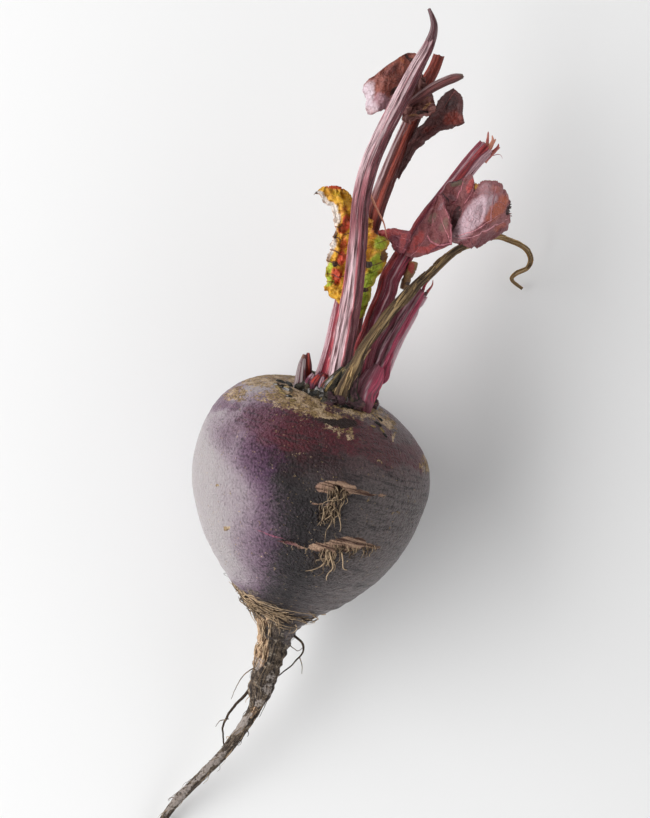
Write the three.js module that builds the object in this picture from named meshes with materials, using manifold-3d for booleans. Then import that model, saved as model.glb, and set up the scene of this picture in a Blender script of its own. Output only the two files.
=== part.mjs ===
// A beetroot, pulled and topped: a swollen root with its taproot, the corky crown, the snapped
// leaf stalks and what is left of the leaves. It lies on its side.
//
// Millimetres, +Z up. The origin is the middle of the flat spot that the root rests on. +Y runs
// from the taproot towards the crown, and +X is to the right of someone who looks along +Y.

import * as THREE from "three";
import { mergeVertices } from "three/addons/utils/BufferGeometryUtils.js";
import Module from "manifold-3d";

const wasm = await Module();
wasm.setup();

// ---------------------------------------------------------------- driving dimensions

const DEGREE = Math.PI / 180;
const TURN = 2 * Math.PI;

const LEAN = 14 * DEGREE; // the crown end is raised, the taproot reaches down to the surface
const MIDDLE_Y = -4; // middle of the swollen root, behind the spot under the centre of mass
const MIDDLE_Z = 37;
const SPOT_SIDE = 60; // block that trims the flat spot, well past the root on all sides
const SPOT_DEPTH = 10;
const GAP = 0.3; // clearance between pieces that touch
const LEAF_THICKNESS = 0.9;

// Swollen root: run along +Y from its middle, sideways shift of the axis, radius.
const ROOT_STATIONS = [
  [34.8, -1, 2], [34.5, -1.5, 9], [33.8, -3, 15.5], [32, -3.4, 22.5], [29.2, -2.6, 28],
  [24.5, -1.4, 33.4], [19, -0.4, 37.2], [12, 0, 39.1], [4, 0, 39.1], [-4, 0.3, 37.9],
  [-12, 0.7, 35.2], [-19.5, 1, 31.2], [-26, 1.3, 26], [-31.5, 1.5, 20.8], [-36.5, 1.8, 14.7],
  [-41, 2.1, 10.6],
];

// Taproot: centre x, centre y, centre z, radius.
const TAPROOT_STATIONS = [
  [2.3, -50, 25.5, 6.9], [2.6, -55, 24, 5.2], [2.7, -62, 22.3, 4.7], [2.4, -69, 20.3, 4.6],
  [2.6, -74, 18.8, 4.3], [2.6, -77, 17.9, 2.9], [2.1, -80.5, 16.8, 2.2], [-0.8, -90.5, 13.8, 2],
  [-5.8, -102, 10, 1.7], [-12.6, -114, 6.6, 1.6], [-16.5, -122, 4.6, 1.5], [-19.3, -130, 3, 1.2],
  [-22, -141, 1.5, 0.9], [-24, -151, 0.8, 0.5],
];
const ROOT_RINGS = 48;
const ROOT_SIDES = 36;

// Relief of the skin, as heights: soft lumps and ripples, the flatter shoulder over the resting
// spot, and the wrinkles, flutes and knots of the neck and the taproot.
const LUMP = 0.35;
const RIPPLE = 0.25;
const SHOULDER = 1.1;
const SHOULDER_Y = 12;
const SHOULDER_REACH = 14;
const WRINKLE = 0.28;
const FLUTE = 0.3;
const KNOT = 0.18;

// Fibres: rootlets, stubs and splinters.
const FIBRE_SIDES = 4;
const ROOTLET_RADIUS = 0.45;
const RUN_RADIUS = 0.55;
const SPLINTER_RADIUS = 0.75;
const SPLINTER_SINK = 2.5;

// Crown: the corky disc that the stalks grow from. Its steps are a height over its foot and the
// share of the radius there.
const CROWN_RADIUS = 13;
const CROWN_SINK = 3; // how deep its foot sits in the root
const CROWN_SHIFT = 1;
const CROWN_STEPS = [[0, 1], [3, 1.04], [5, 1], [6.5, 0.86], [7.2, 0.55]];
const CROWN_TOP = 7.6;
const CROWN_SIDES = 28;
const SCALE_COUNT = 11;
const SCALE_RADIUS = 1.6;
const SCALE_INSET = 2.5;

// Dried skins at the feet of the stalks: centre line x, y, z with the width there.
const CROWN_SKINS = [
  [
    [3.8, 26, 53.4, 13], [3.4, 29.4, 56, 11.6], [3.2, 33, 57.2, 8.6], [4, 37.5, 58.4, 6],
    [5.2, 42.5, 58.8, 3.6],
  ],
  [[-1.6, 27, 54.4, 4.6], [-2, 31, 57, 4.4], [-0.6, 35, 58.4, 3.2], [1.6, 39.6, 58.4, 1.6]],
];
const SKIN_SHAPE = { steps: 7, ribs: 6, rib: 0.05, depth: 0.24 };

// Stalks: centre line x, y, z with the width there. Depth is a share of the width.
const TALL_STALK = [
  [0.2, 31, 49.5, 8], [-0.3, 41, 54, 7.4], [-1.2, 52, 57, 7], [-2.3, 64, 60, 6.6],
  [-4.6, 78.5, 62, 6], [-7, 91, 63, 5.6], [-7.5, 103, 63.5, 5.6], [-6, 114.5, 63, 5.4],
  [-3.5, 126.5, 62, 5.2], [-1, 138.5, 60.5, 4.6], [1, 147, 59.5, 3.4], [1, 153.5, 59, 2.2],
  [-2, 158.5, 58, 1],
];
const SECOND_STALK = [
  [3, 33, 38, 6.5], [1, 49, 41.5, 6.4], [-0.8, 65.5, 44.5, 6.2], [-2, 80, 46.5, 6],
  [-2, 91, 48.5, 6], [-1, 102, 51, 5.8], [0.5, 113, 52.5, 5.6], [2, 123.5, 53, 5.2],
  [3, 134, 53, 4.4], [4.5, 141, 53, 3.8], [5, 146, 53, 3.6],
];
const RIGHT_STALK = [
  [7, 33, 46, 7], [6.5, 46, 48.5, 6.8], [7, 52.5, 50, 6.6], [7.5, 59.5, 50.5, 6.4],
  [8.5, 66, 50.2, 6.4], [8.5, 71.5, 49.2, 6.4], [10, 77.5, 47.5, 6.2], [12, 83.5, 45, 6],
  [14, 90, 42.5, 5.8], [17.5, 99.5, 39, 5.6], [21, 107.5, 36, 5.6], [25.6, 118, 32, 5.8],
  [29, 124.5, 29.5, 6],
];
const THICK_STALK = [
  [9.6, 28.5, 43, 10], [9.6, 33, 44, 7.6], [10.6, 38, 43.2, 8.8], [12, 42.5, 42.6, 9.4],
  [13, 47.5, 42.2, 8.4], [14, 52.5, 42, 7.6], [16, 60, 41.5, 7.2], [18, 67.5, 41, 6.8],
  [20, 73.5, 40, 6.4],
];
const THICK_STALK_FOOT = [
  [10.4, 26.4, 52.2, 7.6], [10, 29.5, 54, 8], [10, 33.5, 53.4, 7], [11, 37.6, 50.8, 7.4],
  [12.2, 42.5, 46.6, 6],
];
const THICK_STALK_BUMP = [[13.4, 37, 46.6, 1.6], [15, 39.8, 46.6, 3], [15.2, 43.6, 45.5, 2]];
const THIN_STALK = [
  [-5, 31, 45.5, 4.6], [-4.6, 44, 49, 4], [-5.2, 54.5, 50.8, 3.6], [-5.6, 63.5, 51, 3.2],
];
const STRAND = [
  [2.4, 29.5, 57, 4.4], [3, 33.5, 58.5, 4], [4.6, 40, 59.5, 3.6], [6, 46.5, 58.5, 3.4],
  [8.5, 53, 57.5, 3.4], [11.5, 60.5, 55.5, 3.4], [14.5, 66.5, 53, 3.4], [17.5, 72.5, 50, 3.2],
  [21, 77.5, 46.5, 3], [24.5, 83, 42, 2.8], [28, 87.5, 36.5, 2.4], [33, 91.5, 31, 2.2],
  [40, 96, 24, 2.2], [45.5, 96.5, 18, 2.2], [51, 96, 12, 2.4], [54, 93.5, 8.5, 2.4],
  [54, 90, 6.5, 2], [51, 87.5, 4.8, 1.8], [50, 85, 3, 1.4], [54.5, 83, 1.2, 1],
];
const SHOOT = [[-9, 29, 47, 4], [-10, 34.5, 50, 3.6], [-10.5, 37.5, 52, 3], [-11, 41, 53.5, 1]];
const SHOOT_SHEATH = [
  [-10.4, 27.6, 48.6, 5], [-11.2, 32, 51.4, 3.8], [-11.9, 36.6, 53.2, 2.6], [-12, 40.2, 53.8, 1.2],
];
const RED_BUD = [[-4.5, 28, 52.5, 5], [-4.8, 33, 53.5, 4.6], [-4.6, 36.5, 54.5, 2.4]];
// Small flaps beside the bud: x, height of the tip, width, lean of the tip.
const BUD_FLAPS = [
  [-7.9, 55, 3.2, 0.4], [-6.2, 56, 2.8, 0.8], [-2.6, 57.6, 3, 0.6], [-3.8, 56.6, 2.4, -0.4],
];
const SPUR = [
  [-0.5, 127, 57.2, 2], [2.5, 130.5, 57.6, 2.8], [5.5, 134, 58, 3], [8.8, 137, 58, 3],
  [11.8, 139.2, 57.5, 2.8], [14.5, 140.6, 57, 1.2],
];

// Leaves: rows of points on the middle of the blade, from its foot or one edge to the other.
const YELLOW_LEAF = [
  [[-22.5, 91.5, 54.5], [-21, 93.5, 56.5], [-18, 95, 57.5], [-14.5, 95.5, 56.5], [-10.5, 94, 55]],
  [[-19, 90, 54], [-16.5, 91, 56], [-14, 91, 57], [-11.5, 91, 56], [-7.5, 91, 54.5]],
  [[-14, 85.5, 54], [-12.5, 85.5, 55.5], [-11, 86, 56], [-8, 86, 54], [-3, 89, 53.5]],
  [[-13.5, 79.5, 54], [-11.5, 80, 55], [-9.5, 80, 54], [-4, 81.5, 53.5], [2, 86, 54.5]],
  [[-13, 73, 53], [-10.5, 73, 54.5], [-8, 74, 53.5], [-1, 76, 53.5], [6.5, 81.5, 53.5]],
  [[-12, 66.5, 53], [-9.5, 67, 54.5], [-7, 67.5, 53.5], [-1, 69, 53.5], [5.5, 73.5, 54]],
  [[-11.5, 63, 52], [-9, 62.5, 53.5], [-6, 62.5, 53.5], [-0.5, 62, 53.5], [4, 63.5, 55]],
  [[-3, 60, 53.5], [-1.5, 58.5, 53], [0, 57, 53], [2, 56, 53.5], [4, 58, 54.5]],
];
const TOP_LEAF = [
  [[1, 142.5, 54], [-1, 136, 53.5], [-2.5, 130, 53], [-4.5, 124, 54]],
  [[-4, 144, 54.5], [-5.5, 137, 54.5], [-6.5, 130.5, 54.5], [-8, 123.5, 54]],
  [[-9.5, 139, 55.5], [-10, 134, 56.5], [-9.5, 128.5, 56.5], [-10, 122, 55]],
  [[-13.5, 133.5, 55.5], [-13, 130, 54.5], [-12, 126.5, 53.5], [-12, 121, 52]],
  [[-15.5, 131.5, 52], [-16, 128.5, 50.5], [-14.5, 126.5, 50.5], [-13.5, 123.5, 50]],
];
const TORN_LEAF = [
  [[0.5, 139, 56.8], [-0.5, 131.5, 56.8], [-1.5, 124.5, 56.5], [-1, 121, 57]],
  [[2.5, 137, 56.8], [2, 130, 56.6], [1, 124.5, 56.5], [2, 121, 58]],
  [[4.5, 134.5, 56.5], [5, 129.5, 56], [4, 126, 57], [4, 123, 58.5]],
  [[6, 133, 56], [7.5, 130, 56.5], [8.5, 128, 57.5], [7, 125, 58.5]],
];
const DARK_LEAF = [
  [[2.2, 103.6, 52.4], [2.4, 103.6, 52.4], [2.6, 103.5, 52.4], [2.8, 103.4, 52.3]],
  [[3, 115.5, 55], [3.8, 114.5, 54], [4.6, 113.5, 53.8], [5.6, 112.5, 54.2]],
  [[5, 121, 56.5], [6, 120, 54.5], [7, 118.5, 54], [8, 117, 55.5]],
  [[7.5, 126.5, 57.2], [9, 125, 54.5], [10.5, 123, 53.5], [11.5, 121, 55.5]],
  [[9.5, 132.5, 57.5], [12, 130, 54.5], [14, 127, 53.5], [15.5, 123.5, 56]],
  [[12, 136, 57], [15.8, 134, 56], [17.5, 129, 54.5], [18.8, 126, 55.5]],
];
const FOLDED_LEAF = [
  [[11, 80, 50.4], [14.7, 80.4, 49.6], [20, 83.6, 48.5], [25.3, 87.8, 47.5]],
  [[11.9, 86.3, 48.6], [15.6, 86.8, 47.6], [19.7, 88.9, 47.6], [24.2, 91.1, 49.8]],
  [[13.2, 90.8, 46.8], [16.4, 91.6, 46], [19.5, 93.4, 46.8], [22.7, 94.6, 50]],
  [[15.3, 96.7, 44.8], [17, 96.9, 44.6], [18.8, 97.9, 45.6], [20.4, 98.6, 48]],
  [[16.9, 102, 43.2], [17.1, 102.3, 43.4], [17.4, 102.6, 44], [17.7, 102.7, 45]],
];
const WING_LEAF = [
  [[17.7, 103.2, 43], [19.3, 101.4, 44], [21, 99.6, 44.4], [23.2, 97, 45]],
  [[18.2, 105.4, 42.4], [20.6, 103.6, 42.2], [23, 101.4, 43], [25.2, 99.2, 45.4]],
  [[18.8, 107.4, 41.8], [21.6, 106, 42.2], [24.2, 104.2, 44.4], [26.9, 102.9, 45.4]],
  [[22.4, 109.4, 41], [24, 108, 42.6], [25.8, 107, 44.8], [27.8, 106.5, 45]],
  [[25, 112, 39.4], [25.8, 112, 41.4], [26.4, 111.4, 43], [27.2, 109.6, 44.2]],
];
const BROAD_LEAF = [
  [
    [25, 106.6, 42], [23.4, 101.4, 42], [20.8, 97.4, 42], [20.4, 93.4, 42], [22.6, 90.6, 42],
    [25.2, 89, 42.6],
  ],
  [
    [28.6, 110, 44], [28.4, 104, 47], [27, 99, 48.8], [27.4, 93.4, 48.2], [28, 90.6, 47],
    [29.4, 88.8, 45],
  ],
  [
    [31.6, 111.2, 44.5], [31.8, 106.4, 48.4], [31, 101, 49.2], [31, 94.6, 50], [31.6, 91.8, 48.6],
    [32.4, 88.6, 43.6],
  ],
  [
    [34.6, 112, 44.5], [34.6, 107.6, 47.4], [34.6, 103, 48], [34.8, 98.4, 49.8], [35.2, 95.4, 47.8],
    [36, 91.6, 42],
  ],
  [
    [37.7, 109.8, 43], [37.6, 107, 45.2], [37.6, 104, 45.4], [38.2, 101, 46], [38.8, 98.8, 44.8],
    [39.6, 95.2, 40.4],
  ],
  [
    [40.2, 107, 41], [40.8, 105.4, 41.6], [41, 104, 41.8], [41.4, 102.8, 42], [41.9, 101.6, 41.4],
    [42.3, 98.5, 38.6],
  ],
];
const SMALL_TIP = [
  [[11, 88, 50.4], [11.4, 85.6, 51.4], [11.2, 83, 51.4], [10.6, 80.4, 50.6]],
  [[8, 88, 51], [8.2, 85.6, 53], [8, 83, 53], [7.8, 80.6, 51]],
  [[5, 87.4, 52], [5.2, 85.8, 53.6], [5.4, 84.2, 53.4], [5.6, 82.6, 52]],
  [[2.6, 86.2, 52.6], [2.8, 85.4, 53.6], [3, 84.6, 53.6], [3.2, 83.8, 52.8]],
  [[0.8, 84.9, 53], [0.9, 84.6, 53.4], [1, 84.3, 53.4], [1.1, 83.9, 53]],
];
const LEAF_SCRAP = [
  [[16, 79, 48], [14.5, 79, 49], [13, 78.5, 48]],
  [[15.8, 76, 47.5], [14.2, 75.5, 49], [12.8, 75.5, 47.5]],
  [[15, 72.5, 47], [13.8, 72.5, 48.5], [12.5, 72.5, 47]],
  [[14.4, 69.5, 46.5], [13.6, 69.5, 47], [12.6, 69.5, 46.5]],
];

// ---------------------------------------------------------------- small tools

// A repeatable stream of numbers from 0 to 1.
function numbers(seed) {
  let state = seed;
  return () => {
    state = (Math.imul(state, 1664525) + 1013904223) >>> 0;
    return state / 4294967296;
  };
}

// Rises from 0 to 1 as the value goes from one edge to the other, whichever is higher.
function smooth(from, to, value) {
  const share = THREE.MathUtils.clamp((value - from) / (to - from), 0, 1);
  return share * share * (3 - 2 * share);
}

// Reads a list of rows as one smooth function of t from 0 to 1, a value for each column.
function readRows(rows) {
  const last = rows.length - 1;
  return (t) => {
    const place = Math.min(t * last, last - 1e-9);
    const i = Math.floor(place);
    const f = place - i;
    const before = rows[Math.max(i - 1, 0)];
    const after = rows[Math.min(i + 2, last)];
    return rows[i].map((value, k) => {
      const next = rows[i + 1][k];
      const slope0 = (next - before[k]) / 2;
      const slope1 = (after[k] - value) / 2;
      const rise = next - value;
      const bend = slope0 + slope1 - 2 * rise;
      return value + f * (slope0 + f * (rise - slope0 - bend + f * bend));
    });
  };
}

function pointAt(read, t) {
  const [x, y, z] = read(t);
  return new THREE.Vector3(x, y, z);
}

function directionAt(read, t) {
  const step = 0.01;
  const ahead = pointAt(read, Math.min(t + step, 1));
  return ahead.sub(pointAt(read, Math.max(t - step, 0))).normalize();
}

// The two directions across a centre line: level, and upwards.
function framing(direction) {
  const across = new THREE.Vector3().crossVectors(direction, new THREE.Vector3(0, 0, 1)).normalize();
  const upward = new THREE.Vector3().crossVectors(across, direction);
  return { across, upward };
}

function meshVolume(positions, indices) {
  const a = new THREE.Vector3();
  const b = new THREE.Vector3();
  const c = new THREE.Vector3();
  let volume = 0;
  for (let i = 0; i < indices.length; i += 3) {
    a.fromArray(positions, 3 * indices[i]);
    b.fromArray(positions, 3 * indices[i + 1]);
    c.fromArray(positions, 3 * indices[i + 2]);
    volume += a.dot(b.cross(c)) / 6;
  }
  return volume;
}

// A closed body from points and triangles, its faces turned outwards.
function closedGeometry(points, indices) {
  const positions = points.flatMap((p) => [p.x, p.y, p.z]);
  const outwards = meshVolume(positions, indices) > 0 ? indices : indices.toReversed();
  const geometry = new THREE.BufferGeometry();
  geometry.setAttribute("position", new THREE.Float32BufferAttribute(positions, 3));
  geometry.setIndex(outwards);
  return geometry;
}

// Skins a row of rings and closes both ends with a point.
function skinRings(rings, startPoint, endPoint) {
  const sides = rings[0].length;
  const points = [...rings.flat(), startPoint, endPoint];
  const start = points.length - 2;
  const end = points.length - 1;
  const lastRing = (rings.length - 1) * sides;
  const indices = [];
  for (let k = 0; k < sides; k++) {
    const next = (k + 1) % sides;
    indices.push(start, next, k);
    indices.push(end, lastRing + k, lastRing + next);
    for (let row = 0; row < rings.length - 1; row++) {
      const low = row * sides;
      const high = low + sides;
      indices.push(low + k, low + next, high + next);
      indices.push(low + k, high + next, high + k);
    }
  }
  return closedGeometry(points, indices);
}

function toSolid(geometry) {
  const bare = new THREE.BufferGeometry();
  bare.setAttribute("position", geometry.getAttribute("position").clone());
  bare.setIndex(geometry.getIndex());
  const merged = mergeVertices(bare, 1e-5);
  const mesh = new wasm.Mesh({
    numProp: 3,
    vertProperties: Float32Array.from(merged.getAttribute("position").array),
    triVerts: Uint32Array.from(merged.getIndex().array),
  });
  return new wasm.Manifold(mesh);
}

function toGeometry(solid) {
  const { vertProperties, triVerts } = solid.getMesh();
  const geometry = new THREE.BufferGeometry();
  geometry.setAttribute("position", new THREE.BufferAttribute(vertProperties, 3));
  geometry.setIndex(new THREE.BufferAttribute(triVerts, 1));
  geometry.computeVertexNormals();
  return geometry;
}

function joined(solids) {
  return solids.reduce((whole, piece) => whole.add(piece));
}

// Cuts the neighbours away and drops any loose scrap.
function cutClear(solid, neighbours) {
  const rest = neighbours.reduce((left, other) => left.subtract(other), solid);
  return rest.decompose().reduce((best, piece) => (piece.volume() > best.volume() ? piece : best));
}

// ---------------------------------------------------------------- swollen root and taproot

const leanRise = Math.tan(LEAN);
const rootAxis = new THREE.Vector3(0, Math.cos(LEAN), Math.sin(LEAN));

const rootRows = [
  ...ROOT_STATIONS.map(([run, shift, radius]) => [
    shift, MIDDLE_Y + run, MIDDLE_Z + run * leanRise, radius,
  ]),
  ...TAPROOT_STATIONS,
];
const readRoot = readRows(rootRows);
const TOP_Y = MIDDLE_Y + ROOT_STATIONS[0][0];
const BULB_END_Y = MIDDLE_Y + ROOT_STATIONS.at(-1)[0];

// Height of the skin over the plain round form: soft lumps, a flatter underside shoulder that
// lies over the resting spot, and the wrinkles round the neck and the taproot.
function rootRelief(y, angle) {
  const bulb = smooth(BULB_END_Y - 6, BULB_END_Y + 14, y);
  const lumps = LUMP * Math.sin(3 * angle + 0.7) * Math.sin(y / 11)
    + RIPPLE * Math.sin(5 * angle + y / 19) * Math.cos(y / 7);
  const underside = Math.max(0, -Math.sin(angle));
  const shoulder = SHOULDER * underside ** 4 * Math.exp(-(((y - SHOULDER_Y) / SHOULDER_REACH) ** 2));
  const neck = smooth(-21, -41, y) * smooth(-89, -57, y);
  const wrinkles = neck * (WRINKLE * Math.sin(1.9 * y) + FLUTE * Math.sin(4 * angle + y / 5));
  const knots = (1 - bulb) * KNOT * Math.sin(3 * angle + y / 2.3);
  return bulb * (lumps + shoulder) + wrinkles + knots;
}

function rootFrame(t) {
  const [x, y, z, radius] = readRoot(t);
  const tail = smooth(BULB_END_Y, BULB_END_Y - 12, y);
  const direction = rootAxis.clone().lerp(directionAt(readRoot, t).negate(), tail).normalize();
  return { centre: new THREE.Vector3(x, y, z), radius, ...framing(direction) };
}

function rootSkin(t, angle, grow) {
  const { centre, radius, across, upward } = rootFrame(t);
  const reach = radius + grow + Math.min(1, radius / 3) * rootRelief(centre.y, angle);
  const top = smooth(TOP_Y - 5, TOP_Y - 2, centre.y);
  return centre
    .addScaledVector(across, reach * Math.cos(angle))
    .addScaledVector(upward, reach * Math.sin(angle))
    .addScaledVector(rootAxis, grow * top);
}

function rootBody(grow) {
  const rings = [];
  for (let row = 0; row < ROOT_RINGS; row++) {
    const t = row / (ROOT_RINGS - 1);
    const ring = [];
    for (let k = 0; k < ROOT_SIDES; k++) {
      ring.push(rootSkin(t, (TURN * k) / ROOT_SIDES, grow));
    }
    rings.push(ring);
  }
  const top = pointAt(readRoot, 0).addScaledVector(rootAxis, grow);
  return toSolid(skinRings(rings, top, pointAt(readRoot, 1)));
}

// A thin root or fibre: a few points with a radius that fades to the tip.
function fibre(points, radius) {
  const read = readRows(points.map((p) => p.toArray()));
  const steps = points.length;
  const rings = [];
  for (let row = 0; row <= steps; row++) {
    const t = row / steps;
    const { across, upward } = framing(directionAt(read, t));
    const size = radius * (1 - 0.6 * t);
    const ring = [];
    for (let k = 0; k < FIBRE_SIDES; k++) {
      const angle = (TURN * k) / FIBRE_SIDES;
      ring.push(pointAt(read, t)
        .addScaledVector(across, size * Math.cos(angle))
        .addScaledVector(upward, size * Math.sin(angle)));
    }
    rings.push(ring);
  }
  return toSolid(skinRings(rings, pointAt(read, 0), pointAt(read, 1)));
}

// Rootlets that spread over the skin from one scar. Their feet are sunk well in.
function rootletTuft({ t, angle, count, length, fan, seed }) {
  const random = numbers(seed);
  const sink = -1.2;
  const rootlets = [];
  for (let i = 0; i < count; i++) {
    const startAngle = angle + fan * (random() - 0.5);
    const startT = t + 0.006 * (random() - 0.5);
    const reachAngle = fan * 1.6 * (random() - 0.5);
    const reachT = length * (0.4 + 0.6 * random());
    const lift = 0.6 + 0.7 * random();
    rootlets.push(fibre([
      rootSkin(startT, startAngle, sink),
      rootSkin(startT + 0.25 * reachT, startAngle + 0.2 * reachAngle, lift),
      rootSkin(startT + 0.65 * reachT, startAngle + 0.9 * reachAngle, 0.8 * lift),
      rootSkin(startT + reachT, startAngle + reachAngle, sink / 2),
    ], ROOTLET_RADIUS));
  }
  return rootlets;
}

// Scars on the skin that rootlets grow from: the place along the root, the angle round it, how
// many rootlets there are and how far they spread.
const TUFTS = [
  { t: 0.232, angle: 1.26, count: 6, length: 0.045, fan: 0.3, seed: 5 },
  { t: 0.313, angle: 1.1, count: 6, length: 0.04, fan: 0.36, seed: 11 },
  { t: 0.475, angle: 2, count: 7, length: 0.09, fan: 2.4, seed: 23 },
];

// Two long rootlets that stand away from the taproot.
const ROOTLET_RUNS = [
  [[0.8, -69, 20], [-2, -76, 19], [-5, -82, 17], [-6.6, -88, 14], [-6, -92, 12.5], [-4.4, -96.5, 11]],
  [
    [4, -50, 26], [9, -52, 25.5], [12, -53.5, 24.5], [13, -56, 23.5], [12.2, -59, 22], [10, -63, 21],
    [4.5, -70.5, 20],
  ],
];

// ---------------------------------------------------------------- crown

const crownRun = ROOT_STATIONS[0][0] - CROWN_SINK;
const crownFoot = new THREE.Vector3(CROWN_SHIFT, MIDDLE_Y + crownRun, MIDDLE_Z + crownRun * leanRise);

function crownBody(grow) {
  const { across, upward } = framing(rootAxis);
  const rings = CROWN_STEPS.map(([height, share]) => {
    const ring = [];
    for (let k = 0; k < CROWN_SIDES; k++) {
      const angle = (TURN * k) / CROWN_SIDES;
      const scaly = 1 + 0.07 * Math.sin(7 * angle + 2) + 0.04 * Math.sin(11 * angle + height);
      const reach = CROWN_RADIUS * share * scaly + grow;
      ring.push(crownFoot.clone()
        .addScaledVector(rootAxis, height + (share < 1 ? grow : 0))
        .addScaledVector(across, reach * Math.cos(angle))
        .addScaledVector(upward, reach * Math.sin(angle)));
    }
    return ring;
  });
  const top = crownFoot.clone().addScaledVector(rootAxis, CROWN_TOP + grow);
  return toSolid(skinRings(rings, crownFoot, top));
}

// Stubs of old leaf bases round the edge of the crown.
function crownScales(grow) {
  const random = numbers(41);
  const { across, upward } = framing(rootAxis);
  const scales = [];
  for (let i = 0; i < SCALE_COUNT; i++) {
    const angle = (TURN * (i + 0.5 * random())) / SCALE_COUNT;
    const outward = across.clone()
      .multiplyScalar(Math.cos(angle))
      .addScaledVector(upward, Math.sin(angle));
    const foot = crownFoot.clone().addScaledVector(outward, CROWN_RADIUS - SCALE_INSET);
    const rise = 3.4 + 1.6 * random();
    const spread = 2.6 + random();
    scales.push(fibre([
      foot.clone().addScaledVector(rootAxis, 2),
      foot.clone().addScaledVector(rootAxis, rise + 1).addScaledVector(outward, 1.6),
      foot.clone().addScaledVector(rootAxis, rise + 2.6).addScaledVector(outward, spread),
    ], SCALE_RADIUS + grow));
  }
  return scales;
}

function crownForms(grow) {
  const skins = CROWN_SKINS.map((rows) => stalk(rows, { ...SKIN_SHAPE, grow }));
  return [crownBody(grow), ...crownScales(grow), ...skins];
}

// ---------------------------------------------------------------- stalks

// A ribbed stalk along its centre line. Every other corner stands out as a rib.
function stalk(rows, { depth = 0.85, ribs = 10, rib = 0.07, steps = 20, twist = 0, grow = 0 }) {
  const read = readRows(rows);
  const sides = 2 * ribs;
  const rings = [];
  for (let row = 0; row <= steps; row++) {
    const t = row / steps;
    const width = read(t)[3];
    const { across, upward } = framing(directionAt(read, t));
    const ring = [];
    for (let k = 0; k < sides; k++) {
      const angle = (TURN * k) / sides + twist * t;
      const reach = (width / 2) * (1 + (k % 2 ? -rib : rib)) + grow;
      ring.push(pointAt(read, t)
        .addScaledVector(across, reach * Math.cos(angle))
        .addScaledVector(upward, (depth * (reach - grow) + grow) * Math.sin(angle)));
    }
    rings.push(ring);
  }
  return toSolid(skinRings(rings, pointAt(read, 0), pointAt(read, 1)));
}

// Splinters that stand out of a snapped end.
function splinters(rows, { count, length, seed }) {
  const random = numbers(seed);
  const read = readRows(rows);
  const end = pointAt(read, 1);
  const direction = directionAt(read, 1);
  const { across, upward } = framing(direction);
  const width = read(1)[3];
  const pieces = [];
  for (let i = 0; i < count; i++) {
    const angle = (TURN * (i + 0.6 * random())) / count;
    const outward = across.clone()
      .multiplyScalar(Math.cos(angle))
      .addScaledVector(upward, Math.sin(angle));
    const foot = end.clone().addScaledVector(outward, 0.28 * width);
    const reach = length * (0.5 + 0.5 * random());
    pieces.push(fibre([
      foot.clone().addScaledVector(direction, -SPLINTER_SINK),
      foot.clone().addScaledVector(direction, 0.4 * reach).addScaledVector(outward, 0.12 * width),
      foot.clone().addScaledVector(direction, reach).addScaledVector(outward, 0.3 * width * random()),
    ], SPLINTER_RADIUS));
  }
  return pieces;
}

// ---------------------------------------------------------------- leaves

// A thin blade through a net of points. Its free edges are torn and its face is crinkled, and
// both faces are split into triangles alike.
function leaf(net, { along = 12, across = 9, tear = 0.06, crinkle = 0.5, seed = 1, grow = 0 }) {
  const readNet = net.map((row) => readRows(row));
  const edge = (u, phase) => tear * (0.5 + 0.5 * Math.sin(23 * u + phase) * Math.cos(11 * u - phase));
  const middle = [];
  for (let i = 0; i <= along; i++) {
    const u = i / along;
    const low = edge(u, seed);
    const high = 1 - edge(u, seed + 2.4);
    const row = [];
    for (let j = 0; j <= across; j++) {
      const share = low + (high - low) * (j / across);
      const read = readRows(readNet.map((readRow) => readRow(share)));
      row.push(pointAt(read, u));
    }
    middle.push(row);
  }
  const normals = middle.map((row, i) => row.map((_, j) => {
    const du = middle[Math.min(i + 1, along)][j].clone().sub(middle[Math.max(i - 1, 0)][j]);
    const dv = row[Math.min(j + 1, across)].clone().sub(row[Math.max(j - 1, 0)]);
    return du.cross(dv).normalize();
  }));
  const { clamp } = THREE.MathUtils;
  const outward = (i, j) => {
    const inner = middle[clamp(i, 1, along - 1)][clamp(j, 1, across - 1)];
    return middle[i][j].clone().sub(inner).normalize();
  };
  const points = [];
  for (const face of [1, -1]) {
    middle.forEach((row, i) => row.forEach((point, j) => {
      const wave = crinkle * Math.sin(1.7 * i + 0.9 * j + seed) * Math.cos(1.9 * j - 0.6 * i);
      points.push(point.clone()
        .addScaledVector(outward(i, j), 1.5 * grow)
        .addScaledVector(normals[i][j], wave + face * (LEAF_THICKNESS / 2 + grow)));
    }));
  }
  const at = (face, i, j) => face * (along + 1) * (across + 1) + i * (across + 1) + j;
  const indices = [];
  for (let i = 0; i < along; i++) {
    for (let j = 0; j < across; j++) {
      indices.push(at(0, i, j), at(0, i + 1, j), at(0, i + 1, j + 1));
      indices.push(at(0, i, j), at(0, i + 1, j + 1), at(0, i, j + 1));
      indices.push(at(1, i, j), at(1, i + 1, j + 1), at(1, i + 1, j));
      indices.push(at(1, i, j), at(1, i, j + 1), at(1, i + 1, j + 1));
    }
  }
  const rim = [];
  for (let i = 0; i < along; i++) {
    rim.push([i, 0]);
  }
  for (let j = 0; j < across; j++) {
    rim.push([along, j]);
  }
  for (let i = along; i > 0; i--) {
    rim.push([i, across]);
  }
  for (let j = across; j > 0; j--) {
    rim.push([0, j]);
  }
  rim.forEach(([i, j], k) => {
    const [m, n] = rim[(k + 1) % rim.length];
    indices.push(at(0, m, n), at(0, i, j), at(1, i, j));
    indices.push(at(0, m, n), at(1, i, j), at(1, m, n));
  });
  return toSolid(closedGeometry(points, indices));
}

// ---------------------------------------------------------------- the solids

const trim = new THREE.BoxGeometry(SPOT_SIDE, SPOT_SIDE, SPOT_DEPTH);
trim.translate(0, 0, -SPOT_DEPTH / 2);

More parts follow.
